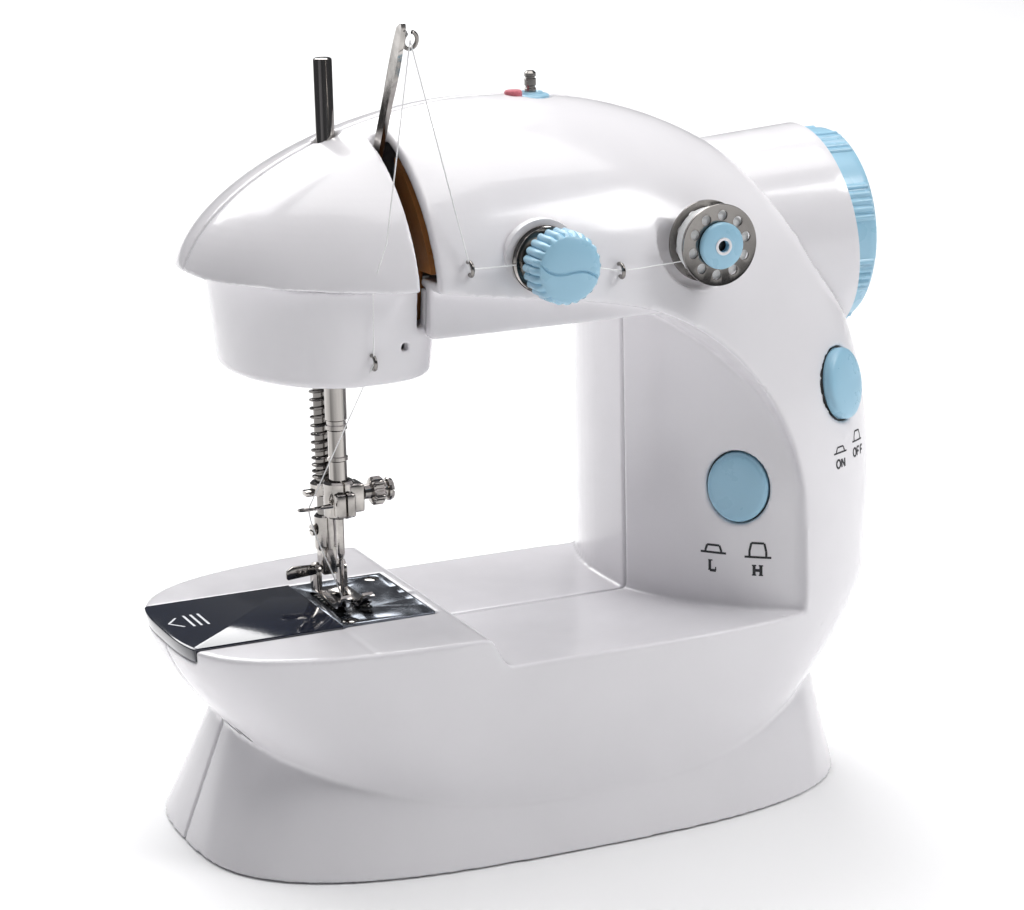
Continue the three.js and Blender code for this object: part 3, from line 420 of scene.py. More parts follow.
def steps(low, high, count):
    return [low + (high - low) * i / count for i in range(count + 1)]


def mix(a, b, t):
    return a + (b - a) * t


def ease(t):
    t = min(1, max(0, t))
    return t * t * (3 - 2 * t)


def super_quarter(u, n):
    return max(0, 1 - min(1, max(0, u)) ** n) ** (1 / n)


# ------------------------------------------------------------------ outlines of the body
def right_at(z):
    if z <= HULL["top"]:
        return HULL["right"] - HULL["bow"] * (HULL["top"] - z) ** HULL["bow_power"]
    if z <= COLUMN["widest"]:
        return mix(HULL["right"], COLUMN["right"],
                   ease((z - HULL["top"]) / (COLUMN["widest"] - HULL["top"])))
    u = (z - COLUMN["widest"]) / (HEAD["top"] - COLUMN["widest"])
    return HEAD["crown"] + (COLUMN["right"] - HEAD["crown"]) * super_quarter(u, COLUMN["round"])


def body_plan(z, inset=0):
    """Plan of the C-shaped body at a height: centre, left, right, half width, two exponents."""
    up = min(1, max(0, (z - HEAD["rim"]) / (HEAD["top"] - HEAD["rim"])))
    arc = super_quarter(up, HEAD["round"])
    between = min(1, max(0, (z - HULL["top"]) / (HEAD["rim"] - HULL["top"])))
    turn = ease((z - 90) / (HEAD["rim"] - 90))
    centre = mix(mix((HULL["left"] + HULL["right"]) / 2, HEAD["front"], turn), HEAD["crown"], up)
    if z <= HULL["top"]:
        left = HULL["left"] + HULL["bow"] * (HULL["top"] - z) ** HULL["bow_power"]
    elif z < HEAD["rim"]:
        left = mix(HULL["left"], HEAD["tip"], between)
    else:
        left = HEAD["crown"] - (HEAD["crown"] - HEAD["tip"]) * arc
    width = mix(HULL["half"], HEAD["half"], between) if z < HEAD["rim"] else HEAD["half"] * arc
    return (centre, max(0.6, centre - left - inset), max(0.6, right_at(z) - centre - inset),
            max(0.6, width - inset), mix(3.3, 2.1, between), mix(3.3, 3, between) - 0.8 * up)


def base_plan(z, inset=0):
    left = BASE["left"] + BASE["lean"] * z + inset
    right = BASE["right"] - BASE["right_lean"] * z - inset
    half = (right - left) / 2
    return (left + half, half, half, BASE["half"] - BASE["flare"] * z - inset, BASE["power"], BASE["power"])


def skirt_plan(z, inset=0):
    spread = SKIRT["splay"] * (z - SKIRT["bottom"]) - inset
    return (SKIRT["x"], SKIRT["left"] + spread, SKIRT["right"] + spread, SKIRT["half"] + spread, 2, 3.3)


def plan_point(plan, angle):
    centre, left, right, half, left_power, right_power = plan
    c, s = math.cos(angle), math.sin(angle)
    reach, power = (left, left_power) if c < 0 else (right, right_power)
    return (centre + math.copysign(reach * abs(c) ** (2 / power), c),
            math.copysign(half * abs(s) ** (2 / power), s))


def loft(levels, plan, sides):
    verts, faces = [], []
    for z in levels:
        outline = plan(z)
        verts += [(*plan_point(outline, 2 * math.pi * i / sides), z) for i in range(sides)]
    for k in range(len(levels) - 1):
        for i in range(sides):
            a, b = k * sides + i, k * sides + (i + 1) % sides
            faces.append((a, b, b + sides, a + sides))
    top = (len(levels) - 1) * sides
    faces.append(tuple(range(sides - 1, -1, -1)))
    faces.append(tuple(range(top, top + sides)))
    return new_object("loft", verts, faces)


def rear_face(x, z):
    """Y of the rear face of the body at x and z."""
    centre, _, right, half, _, power = body_plan(z)
    return half * super_quarter((x - centre) / right, power)


def rim_at(x):
    return HEAD["rim"] - HEAD["rise"] * (x - SLOT["left"])


def arch_point(t, grow):
    c = math.cos(t) ** (2 / ARCH["power"])
    s = math.sin(t) ** (2 / ARCH["power"])
    x = ARCH["x"] + (ARCH["reach"] + grow) * c
    curve = ARCH["z"] + (ARCH["rise"] + grow) * s
    beam = BEAM["z"] + grow - BEAM["slope"] * (x - BEAM["x"])
    return x, curve - math.log(1 + math.exp(ARCH["soft"] * (curve - beam))) / ARCH["soft"]


def bezier(p0, p1, p2, p3, count):
    out = []
    for t in steps(0, 1, count):
        k = 1 - t
        w = (k ** 3, 3 * k * k * t, 3 * k * t * t, t ** 3)
        out.append(tuple(sum(wi * p[j] for wi, p in zip(w, (p0, p1, p2, p3))) for j in range(len(p0))))
    return out


def quadratic(p0, p1, p2, count):
    return [tuple((1 - t) ** 2 * a + 2 * t * (1 - t) * b + t * t * c for a, b, c in zip(p0, p1, p2))
            for t in steps(0, 1, count)]


def throat(grow=0):
    """The open sewing space seen from the front."""
    top, floor = HULL["top"] - grow, BED["floor"] - grow
    step, rest = BED["step"] - grow, BED["step"] + BED["run"] - grow
    outline = [(-170, top)]
    outline += bezier((step, top), (step + 3, top), (rest - 4, floor), (rest, floor), 14)
    outline += [(ARCH["x"] + ARCH["reach"] + grow, floor)]
    outline += [arch_point(t, grow) for t in steps(0, 1.36, 70)]
    outline += [(SLOT["left"], rim_at(SLOT["left"]) + grow), (-170, rim_at(-170) + grow)]
    return prism(outline, -90, 90, "y")


def column_prism(low, high, grow=0):
    x = -grow
    cx, cy = COLUMN["corner"]
    outline = quadratic((x, 0), (7.7 + x, -26.9 + x * 0.6), (30.6 + x, -40.2 + x), 28)
    outline += [(cx + x, cy + x), (cx + x, -70), (80, -70), (80, 70)]
    outline += quadratic((24, 70), (x, 44), (x, 12), 16)
    return prism(outline, low, high)


def oval(wide, tall, sides=72):
    return [(wide / 2 * math.cos(2 * math.pi * i / sides), tall / 2 * math.sin(2 * math.pi * i / sides))
            for i in range(sides)]


def facing_matrix(place):
    return (Matrix.Translation((place["x"], place["y"], place["z"]))
            @ Matrix.Rotation(math.radians(place["yaw"]), 4, "Z")
            @ Matrix.Rotation(math.radians(-place["pitch"]), 4, "X")
            @ Matrix.Rotation(math.pi / 2, 4, "X"))


def facing(obj, place):
    obj.data.transform(facing_matrix(place))
    return obj


# ------------------------------------------------------------------ body shells
def body_levels(low, high):
    hull = [mix(low, HULL["top"], u / 22) for u in range(23)]
    mid = steps(HULL["top"], HEAD["rim"], 22)[1:]
    dome = [mix(HEAD["rim"], high, math.sin(u * math.pi / 60)) for u in range(1, 30)]
    return hull + mid + dome + [high]


def outer_body():
    trunk = loft(body_levels(HULL["bottom"], HEAD["top"]), body_plan, 176)
    core = meet(column_prism(BED["floor"] - 4, ARM["under"] + 8), copy_of(trunk))
    foothold = loft([BASE["rim"]] + steps(2, BASE["top"], 16), base_plan, 176)
    band = block(ARM["left"], ARM["right"], -ARM["half"], ARM["half"], ARM["under"], HEAD["rim"] + 2)
    cut(band, loft([SKIRT["bottom"] - 5, HEAD["rim"] + 6], lambda z: skirt_plan(z, -GAP), 96))
    return join(cut(trunk, throat()), foothold, core, band)


def inner_body():
    levels = body_levels(HULL["bottom"] + WALL, HEAD["top"] - WALL)
    trunk = loft(levels[::3] + levels[-1:], lambda z: body_plan(z + WALL, WALL), 64)
    core = meet(column_prism(BED["floor"] - 8, ARM["under"] + 12, -WALL), copy_of(trunk))
    foothold = loft([-2, 8, 20, BASE["top"] - WALL], lambda z: base_plan(z, WALL), 64)
    band = block(ARM["left"] + WALL, ARM["right"], WALL - ARM["half"], ARM["half"] - WALL,
                 ARM["under"] + WALL, HEAD["rim"] + 4)
    cut(band, loft([SKIRT["bottom"] - 5, HEAD["rim"] + 8], lambda z: skirt_plan(z, -GAP - WALL), 64))
    collar = loft([HEAD["rim"] - 6, HEAD["rim"] + 9], lambda z: skirt_plan(z, SKIRT["wall"]), 64)
    meet(collar, loft([HEAD["rim"] - 6, HEAD["rim"] + 9], lambda z: body_plan(HEAD["rim"] + 9, WALL), 64))
    return join(cut(trunk, throat(WALL)), foothold, core, band, collar)


def shroud_tool(grow, low=SHROUD["left"] - 0.5, high=80):
    return turned([(0, low), (SHROUD["r_left"] + grow, low), (SHROUD["r_right"] + grow, SHROUD["right"]),
                   (SHROUD["r_right"] + grow, high), (0, high)], 96, "x", (0, 0, SHAFT_Z))


def button_hole(place):
    rim = 2 * BUTTON["rim"]
    return facing(prism(oval(BUTTON["wide"] + rim, BUTTON["tall"] + rim), -14, 12), place)


def shell_openings():
    top = HULL["top"]
    return [
        rod(NEEDLE["r"] + 0.9, 150, 200, "z", (NEEDLE["x"], 0, 0)),
        block(SLOT["left"], SLOT["right"], -70, SLOT["back"], SLOT["bottom"], 200),
        rod(SPOOL["base"] + GAP, 170, 200, "z", (SPOOL["x"], 0, 0)),
        rod(2.2, TENSION["face"] - 10, -30, "y", (TENSION["x"], 0, TENSION["z"])),
        rod(WINDER["recess"], -60, WINDER["floor"], "y", (WINDER["x"], 0, WINDER["z"]), 64),
        rod(2.4, -60, -20, "y", (WINDER["x"], 0, WINDER["z"])),
        shroud_tool(GAP),
        button_hole(SPEED),
        button_hole(POWER),
        block(-150, PLATE["left"] + GAP, COVER["front"] - GAP, COVER["rear"] + GAP,
              top - COVER["thick"] - GAP, top + 8),
        block(PLATE["left"] - GAP, PLATE["right"] + GAP, -PLATE["half"] - GAP, PLATE["half"] + GAP,
              top - PLATE["thick"] - GAP, top + 2),
        block(-106, PLATE["right"] - 4, -15, 15, 30, top + 1),
        block(-69, -52, -25, 25, 132.9, HEAD["rim"] + 4),
        block(PLATE["left"] - 0.9, PLATE["left"] + 0.1, -60, -PLATE["half"], top - 1.1, top + 5),
        *[rod(JACKS["r"] + GAP, 20, 70, "y", (x, 0, JACKS["z"])) for x in JACKS["places"].values()],
        rod(0.55, BED["floor"] - 1.2, BED["floor"] + 4, "z", (25.5, -42, 0), 16),
    ]


def make_shells():
    pocket = rod(WINDER["recess"] + 1.8, -41.5, WINDER["floor"] + 1.8, "y", (WINDER["x"], 0, WINDER["z"]),
                 64)
    shell = cut(outer_body(), cut(inner_body(), pocket), *shell_openings())
    halves = {"front_shell": (-100, -GAP / 2), "rear_shell": (GAP / 2, 100)}
    for node, (y0, y1) in halves.items():
        half = meet(copy_of(shell), block(-200, 200, y0, y1, -10, 220))
        softened(half, 0.62, 5, 0.3)
        finish(half, node + "_moulding", "machine", WHITE, "white_plastic", node, angle=50)
    bpy.data.objects.remove(shell)


make_shells()


# ------------------------------------------------------------------ head skirt and wheel shroud
def make_skirt():
    low, rim = SKIRT["bottom"], HEAD["rim"]
    lip = [low, low + 0.15, low + 0.45, low + 0.9, low + 1.5]

    def plan(z):
        u = min(1, (z - low) / 1.5)
        return skirt_plan(z, 1.5 * (1 - math.sqrt(max(0, 1 - (1 - u) ** 2))))

    cup = meet(loft(lip + steps(low + 2.5, rim + 6, 14), plan, 144), throat(-GAP))
    cut(cup,
        loft([low + SKIRT["wall"], rim + 8], lambda z: skirt_plan(z, SKIRT["wall"]), 96),
        rod(NEEDLE["r"] + 0.7, 100, 140, "z", (NEEDLE["x"], 0, 0)),
        rod(PRESSER["r"] + 0.5, 100, 140, "z", (PRESSER["x"], PRESSER["y"], 0)),
        block(-69, -52, -25, 25, 132.9, 200),
        block(PRESSER["x"] - LIFTER["half"] - GAP, PRESSER["x"] + LIFTER["half"] + GAP, LIFTER["y"], 60,
              LIFTER["z"] - LIFTER["thick"] - 0.5, LIFTER["z"] + LIFTER["thick"] + 6),
        block(SLOT["right"] - SLOT["skirt"], SLOT["right"], -60, SLOT["back"], SLOT["bottom"], 200),
        block(-75.6, -73.6, -60, -32.2, 129, 131))
    softened(cup, 0.42, 3, 0.3)
    finish(cup, "head_skirt_moulding", "machine", WHITE, "white_plastic", "head_skirt", angle=50)


def make_shroud():
    left, right = SHROUD["left"], SHROUD["right"]
    r0, r1 = SHROUD["r_left"], SHROUD["r_right"]
    seat, seat_r = SHROUD["seat"], SHROUD["seat_r"]
    profile = [(3.8, left), (r0 - 1, left), (r0 - 0.3, left + 0.3), (r0, left + 1)]
    profile += [(mix(r0, r1, t), mix(left, right + 6, t)) for t in steps(0.06, 1, 12)]
    profile += [(seat_r, right + 6), (seat_r, seat), (seat_r - 1, seat - 1), (r0 - WALL, left + WALL),
                (3.8, left + WALL), (3.8, left)]
    cup = turned(profile, 200, "x", (0, 0, SHAFT_Z))
    end = block(0, 30, -50, 50, -50, 50)
    end.data.transform(Matrix.Translation((SHROUD["end"], 0, SHAFT_Z))
                       @ Matrix.Rotation(-math.radians(SHROUD["lean"]), 4, "Y"))
    cut(cup, end, block(41.5, 52.5, -18, 18, 90, SHAFT_Z))
    rounded(cup, 0.3, 3, 50)
    finish(cup, "wheel_shroud_cup", "machine", WHITE, "white_plastic", "wheel_shroud", angle=40)


# ------------------------------------------------------------------ handwheel
def make_handwheel():
    left, right, r = WHEEL["left"], WHEEL["right"], WHEEL["r"]
    groups, per_group, pitch = 8, 5, math.radians(4.6)

    def ribs(angle, radius):
        if radius < r - 0.75:
            return radius
        within = (angle % (2 * math.pi / groups)) - math.pi / groups
        nearest = round(within / pitch)
        if abs(nearest) > per_group // 2:
            return radius
        off = abs(within - nearest * pitch) / (pitch * 0.36)
        return radius + (0.62 * math.sqrt(max(0, 1 - off * off)) if off < 1 else 0)

    outer = r - 0.65
    inner = r - WHEEL["rim"]
    profile = [(3.3, left), (6.4, left), (7, left + 0.6), (7, right - 3), (inner - 0.7, right - 3), (inner,
                                                                                                     right - 3.7),
               (inner, left + 0.6), (inner + 0.6, left), (outer - 0.8, left), (outer - 0.25, left + 0.3),
               (outer, left + 0.9),
               (outer, left + 4), (outer, right - 3), (outer, right - 1.6), (outer - 0.35, right - 0.7),
               (outer - 1.1, right - 0.15), (outer - 2, right), (outer - 3.2, right - 0.15), (outer - 4,
                                                                                              right - 0.8),
               (10.5, right - 1.5), (9.6, right - 1.1), (9, right - 0.3), (7.6, right), (3.8, right),
               (3.3, right - 0.5), (3.3, left)]
    disc = turned(profile, 480, "x", (0, 0, SHAFT_Z), ribs)
    finger = rod(3.6, right - 1.9, right + 2, "x", (0, 15.4, SHAFT_Z), 40)
    finish(cut(disc, finger), "handwheel_ribbed", "upper_drive", BLUE, "blue_plastic", "handwheel",
           angle=30)


# ------------------------------------------------------------------ bed
def make_slide_cover():
    top = HULL["top"]
    levels = [top - COVER["thick"], top - 0.4, top - 0.05]
    levels += [top + COVER["rise"] * math.sin(u * math.pi / 12) for u in range(1, 7)]

    def plan(z):
        over = max(0, (z - top) / COVER["rise"])
        return body_plan(min(z, top), 0.03 + 0.9 * (1 - math.sqrt(max(0, 1 - over * over))))

    pocket = block(-150, PLATE["left"], COVER["front"], COVER["rear"], top - COVER["thick"], top + 8)
    cap = meet(loft(levels, plan, 200), pocket)
    cut(cap, block(-118, PLATE["left"] + 5, -15, 15, top - COVER["thick"] - 1, top - 1.4))
    rounded(cap, 0.25, 2)
    finish(cap, "slide_cover_window", "bobbin_cover", NAVY, "navy_plastic", "slide_cover", angle=40)


def round_slot(x0, x1, y0, y1, z0, z1):
    """A slot with half-round ends along Y."""
    r, middle = (x1 - x0) / 2, (x0 + x1) / 2
    outline = [(middle + r * math.cos(a), y0 + r + r * math.sin(a)) for a in steps(math.pi, 2 * math.pi,
                                                                                   10)]
    outline += [(middle + r * math.cos(a), y1 - r + r * math.sin(a)) for a in steps(0, math.pi, 10)]
    return prism(outline, z0, z1)


def make_needle_plate():
    top = HULL["top"] + 0.2
    sheet = block(PLATE["left"] + GAP, PLATE["right"], -PLATE["half"], PLATE["half"],
                  HULL["top"] - PLATE["thick"], top)
    x = NEEDLE["x"]
    screws = ((-84.4, -15.6, 0.5), (-66.4, 15.4, 1.9))
    marks = ((-64.6, -12), (-65.6, -6), (-64.6, 0), (-65.6, 6))
    tools = [round_slot(x + dx - 1.5, x + dx + 1.5, -9, 11.6, 50, 60) for dx in (-3.7, 3.7)]
    tools.append(round_slot(x - 1.1, x + 1.1, -1.9, 1.9, 40, 70))
    tools += [rod(2.1, top - 0.5, top + 2, "z", (px, py, 0), 32) for px, py, _ in screws]
    tools += [block(left, -63.2, y, y + 0.15, top - 0.15, top + 1) for left, y in marks]
    cut(sheet, *tools)
    rounded(sheet, 0.12, 2)
    finish(sheet, "needle_plate_sheet", "machine", MIRROR_STEEL, "plate_steel", "needle_plate", angle=30)
    for px, py, turn in screws:
        head = turned([(0, top - 0.45), (1.95, top - 0.45), (1.95, top - 0.15), (1.6, top), (0,
                                                                                             top + 0.04)],
                                                                                             40)
        slit = block(-2.4, 2.4, -0.28, 0.28, top - 0.3, top + 1)
        cut(head, slit)
        head.data.transform(Matrix.Translation((px, py, 0)) @ Matrix.Rotation(turn, 4, "Z"))
        finish(head, "plate_screw", "machine", CHROME, "bright_chrome", angle=30)


# ------------------------------------------------------------------ needle bar, clamp, needle
def make_needle_bar():
    r, low, top = NEEDLE["r"], NEEDLE["bottom"], NEEDLE["top"]
    x = NEEDLE["x"]
    profile = [(0, low), (r - 0.3, low), (r, low + 0.4), (r, 94.6), (r + 0.35, 94.9), (r + 0.35, 95.7), (r,
                                                                                                         96),
               (r, 102.6), (r + 0.45, 103), (r + 0.45, 104), (r + 0.15, 104.3), (r + 0.15, 105.2),
               (r + 0.45, 105.5),
               (r + 0.45, 124), (r, 124.4), (r, top - 0.6), (r - 0.15, top - 0.2), (r - 0.5, top), (0, top)]
    bar = turned(profile, 48, "z", (x, 0, 0))
    finish(bar, "needle_bar_turned", "needle_carrier", PAINTED_STREAK_BAR_CHROME, "bright_chrome", "needle_bar", angle=30)

    clamp = turned([(r + 0.3, 80), (3.6, 80), (4, 80.5), (4, 88.9), (3.5, 89.5), (r + 0.3, 89.5), (r + 0.3,
                                                                                                   80)],
                   48, "z", (x, 0, 0))
    lug = block(x - 0.5, x + 5.8, -3.4, 3, 81.2, 88.6)
    nose = block(x - 2.6, x + 2.6, -5.6, 0, 80.6, 87)
    rounded(lug, 0.6, 3)
    rounded(nose, 0.7, 3)
    join(clamp, lug, nose)
    cut(clamp, rod(r + 0.3, 60, 100, "z", (x, 0, 0), 48), rod(1.6, 1.8, 12, "x", (x, 0, 85.4)),
        block(x - 0.3, x + 0.3, -8, -2.2, 79, 90))
    finish(clamp, "needle_clamp_block", "needle_carrier", CHROME, "bright_chrome", "needle_clamp", angle=30)

    guide = tube([(x - 3.4, -4.4, 84)] + [
        (x - 9.6 + 2.5 * math.cos(a), -3.4 + 2.1 * math.sin(a),
         83.8 - 0.5 * math.sin(a)) for a in steps(-0.5, 5.6, 30)
    ] + [(x - 3.6, -3, 84)], 0.42, 10)
    finish(guide, "needle_bar_thread_loop", "needle_carrier", CHROME, "bright_chrome")

    def knurl(angle, radius):
        return radius + (0.22 * math.cos(22 * angle) if radius > 3.3 else 0)

    screw = turned([(0, r + 0.5), (1.3, r + 0.5), (1.3, 6.4), (1.9, 6.6), (1.9, 8.4), (3.1, 8.6), (3.48,
                                                                                                   9.1),
                                                                                                   (3.48,
                                                                                                    11.3),
                    (3.1, 11.8), (2.1, 12), (2.1, 12.7), (2.9, 12.95), (3.05, 13.5), (2.7, 14.3), (1.2,
                                                                                                   14.6),
                                                                                                   (0,
                                                                                                    14.6)],
                   132, "x", (x, 0, 85.4), knurl)
    cut(screw, block(x + 13.9, x + 16, -4, 4, 85.1, 85.7))
    finish(screw, "clamp_thumb_screw", "needle_screw", CHROME, "bright_chrome", "clamp_screw", angle=30)

    tip = NEEDLE["tip"]
    blade = turned([(0, tip), (0.14, tip + 0.7), (0.42, tip + 3.2), (0.5, tip + 5), (0.55, 68), (0.6, 68.6),
                    (0.98, 70),
                    (1, 70.4), (1, low - GAP - 0.3), (0.7, low - GAP), (0, low - GAP)], 32, "z", (x, 0, 0))
    cut(blade, rod(0.22, -2, 2, "y", (x, 0, tip + 5.6), 16), block(x - 2, x + 2, 0.62, 2, 70, 90),
        block(x - 0.12, x + 0.12, -1.2, -0.32, tip + 5, 68))
    finish(blade, "needle_ground", "needle_carrier", CHROME, "bright_chrome", "needle", angle=30)


# ------------------------------------------------------------------ presser bar and foot
def make_presser():
    x, y, r = PRESSER["x"], PRESSER["y"], PRESSER["r"]
    bar = turned([(0, 70), (r - 0.3, 70), (r, 70.3), (r, 149.6), (r - 0.4, 150), (0, 150)], 40, "z", (x, y,
                                                                                                      0))
    finish(bar, "presser_bar_rod", "presser_rod", DARK_NICKEL, "bright_chrome", "presser_bar")

    top, low, turns = PRESSER["spring_top"], PRESSER["spring_bottom"], 17
    wire = 0.36
    coil = r + GAP + wire
    path = [(x + coil * math.cos(a), y + coil * math.sin(a), mix(low + wire, top - wire,
                                                                 ease_ends(a / (2 * math.pi * turns))))
            for a in steps(0, 2 * math.pi * turns, turns * 22)]
    spring = tube(path, wire, 8)
    finish(spring, "presser_coil_spring", "machine", DARK_NICKEL, "bright_chrome", "presser_spring")
    lowest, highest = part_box("presser_spring")
    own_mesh(spring)

    z1 = low - GAP
    collar = turned([(r + 0.25, z1 - 3.4), (3.2, z1 - 3.4), (3.6, z1 - 3), (3.6, z1 - 0.4), (3.2, z1),
                     (r + 0.25, z1),
                     (r + 0.25, z1 - 3.4)], 40, "z", (x, y, 0))
    arm = block(x - 5.5, x + 1, y - 1.6, y + 1.6, z1 - 3.4, z1 - 2)
    rounded(arm, 0.3, 2)
    join(collar, arm)
    cut(collar, rod(r + 0.25, 60, 100, "z", (x, y, 0), 40))
    finish(collar, "presser_collar_turned", "presser_rod", CHROME, "bright_chrome", "presser_collar",
           angle=30)

    shank = turned([(0, 68.5), (2.5, 68.5), (2.9, 69), (2.9, 77.5), (2.5, 78), (0, 78)], 40, "z", (x, y, 0))
    blade = block(x - 2, x + 2, y - 2.8, y + 2, 62.2, 70)
    rounded(blade, 0.5, 3)
    join(shank, blade)
    cut(shank, rod(r + 0.2, 69.9, 160, "z", (x, y, 0), 40), rod(0.85, -20, 20, "x", (x, y - 1, 64)))
    grub = turned([(0, 0), (1.5, 0), (1.5, 0.9), (1.2, 1.2), (0, 1.2)], 32, "x", (x - 4, y, 74))
    cut(grub, block(x - 5, x - 3.7, y - 2, y + 2, 73.75, 74.25))
    finish(shank, "foot_shank_block", "presser_rod", CHROME, "bright_chrome", "foot_shank", angle=30)
    finish(grub, "foot_shank_screw", "presser_rod", CHROME, "bright_chrome", angle=30)
    make_foot()


def ease_ends(t):
    """Closer coils at both ends of a compression spring."""
    return mix(t, ease(t), 0.35)


def make_foot():
    x, y, z = PRESSER["x"], PRESSER["y"], PRESSER["foot"]
    half, toe, heel = SOLE["half"], SOLE["toe"], SOLE["heel"]
    under = quadratic((toe, z + 3.8), (toe + 2.2, z), (toe + 6.5, z), 14)[:-1]
    under += [(toe + 6.5, z), (heel - 0.4, z), (heel, z + 0.6), (heel - 0.4, z + 1.3)]
    over = quadratic((toe + 7, z + 1.3), (toe + 3.2, z + 1.3), (toe + 0.8, z + 4.6), 14)
    sole = prism(under + over, x - half, x + half, "x")
    needle_slit = round_slot(x - 1.5, x + 1.5, -24, 3.4, 50, 75)
    corners = []
    for side in (-1, 1):
        corner = block(-1.6, 1.6, -3, 0, z - 1, z + 9)
        corner.data.transform(Matrix.Translation((x + side * (half + 0.5), toe + 2.4, 0))
                              @ Matrix.Rotation(side * 0.55, 4, "Z"))
        corners.append(corner)
    cut(sole, needle_slit, *corners)
    ears = []
    for dx in (-4.2, 2.8):
        ear = [(y - 3.6, z + 0.8), (y + 1.6, z + 0.8), (y + 1.6, 64)]
        ear += [(y - 1 + 2.6 * math.cos(a) * 0.95, 63.2 + 2.4 * math.sin(a)) for a in steps(0.1,
                                                                                            math.pi - 0.1,
                                                                                            12)]
        ears.append(prism(ear, x + dx, x + dx + 1.4, "x"))
    pin = rod(0.6, x - 4.6, x + 4.6, "x", (0, y - 1, 64), 20)
    tab = prism([(-11.6, 62.2), (-11.2, 61.8), (-4, 62.4), (-4, 65), (-9.8, 65.3), (-11.6, 64.2)], y - 1.4,
                y - 0.6, "y")
    shift(tab, x, 0, 0)
    rounded(tab, 0.2, 2)
    join(sole, *ears, pin)
    rounded(sole, 0.16, 2, 40)
    finish(sole, "presser_foot_bent", "foot", CHROME, "bright_chrome", "presser_foot", angle=35)
    finish(tab, "presser_foot_side_tab", "foot", CHROME, "bright_chrome", angle=30)


def make_lifter():
    x, y, z = PRESSER["x"], LIFTER["y"], LIFTER["z"]
    half, thick, reach = LIFTER["half"], LIFTER["thick"], LIFTER["reach"]
    outline = [(-7.5, -thick), (reach - 5, -thick), (reach - 1.2, -thick), (reach, -0.6), (reach, 0.6),
               (reach - 1.2, thick), (reach - 5, thick), (reach - 8, thick - 0.7), (6, thick - 0.7), (3,
                                                                                                      thick),
               (-7.5, thick)]
    handle = prism([(y + u, z + v) for u, v in outline], x - half, x + half, "x")
    join(handle, rod(3, x - half, x + half, "x", (0, y, z), 40))
    cut(handle, rod(1.45, x - 10, x + 10, "x", (0, y, z), 24))
    for k in range(5):
        cut(handle, rod(0.4, x - 9, x + 9, "x", (0, y + reach - 7.4 + 1.3 * k, z + thick + 0.12), 12))
    rounded(handle, 0.35, 3)
    finish(handle, "presser_lifter_handle", "lifting_lever", BLACK, "black_plastic", "presser_lifter",
           angle=30)


# ------------------------------------------------------------------ take-up lever
def lever_point(u, v, x=0.0):
    """A point of the take-up lever from its own across and along distances."""
    lean = math.radians(LEVER["lean"])
    return (LEVER["x"] + x, LEVER["y"] + u * math.cos(lean) - v * math.sin(lean),
            LEVER["z"] + u * math.sin(lean) + v * math.cos(lean))


LEVER_EYE = lever_point(-0.9, LEVER["length"] - 4.4, 2.3)


def make_lever():
    length, half = LEVER["length"], LEVER["thick"] / 2
    left = quadratic((-1.8, length - 22), (-2.8, length - 9), (-0.9, length - 0.6), 12)
    right = quadratic((1.7, length - 2.2), (2.6, length - 9), (1.8, length - 22), 12)
    outline = [(-1.8, 0)] + left + [(-0.4, length), (0.4, length - 0.2)] + right + [(1.8, 0)]
    strip = prism(outline, -half, half, "x")
    join(strip, rod(3.8, -half, half, "x", (0, 0, 0), 40))
    cut(strip, rod(1.75, -4, 4, "x", (0, 0, 0), 24))
    rounded(strip, 0.22, 2)
    ring = [(2.3 + 1.75 * math.cos(a), -0.9 + 0.5 * math.sin(a), length - 4.4 + 2.1 * math.sin(a))
            for a in steps(2.3, 2.3 + 5.4, 28)]
    hook = tube([(0.1, -0.7, length - 1.2)] + ring, 0.5, 12)
    place = (Matrix.Translation((LEVER["x"], LEVER["y"], LEVER["z"]))
             @ Matrix.Rotation(math.radians(LEVER["lean"]), 4, "X"))
    for piece, name, nodes in ((strip, "take_up_lever_strip", ["take_up_lever"]), (hook,
                                                                                   "take_up_lever_hook",
                                                                                   [])):
        piece.data.transform(place)
        finish(piece, name, "thread_lever", CHROME if nodes else DARK_NICKEL, "bright_chrome", *nodes,
               angle=30)


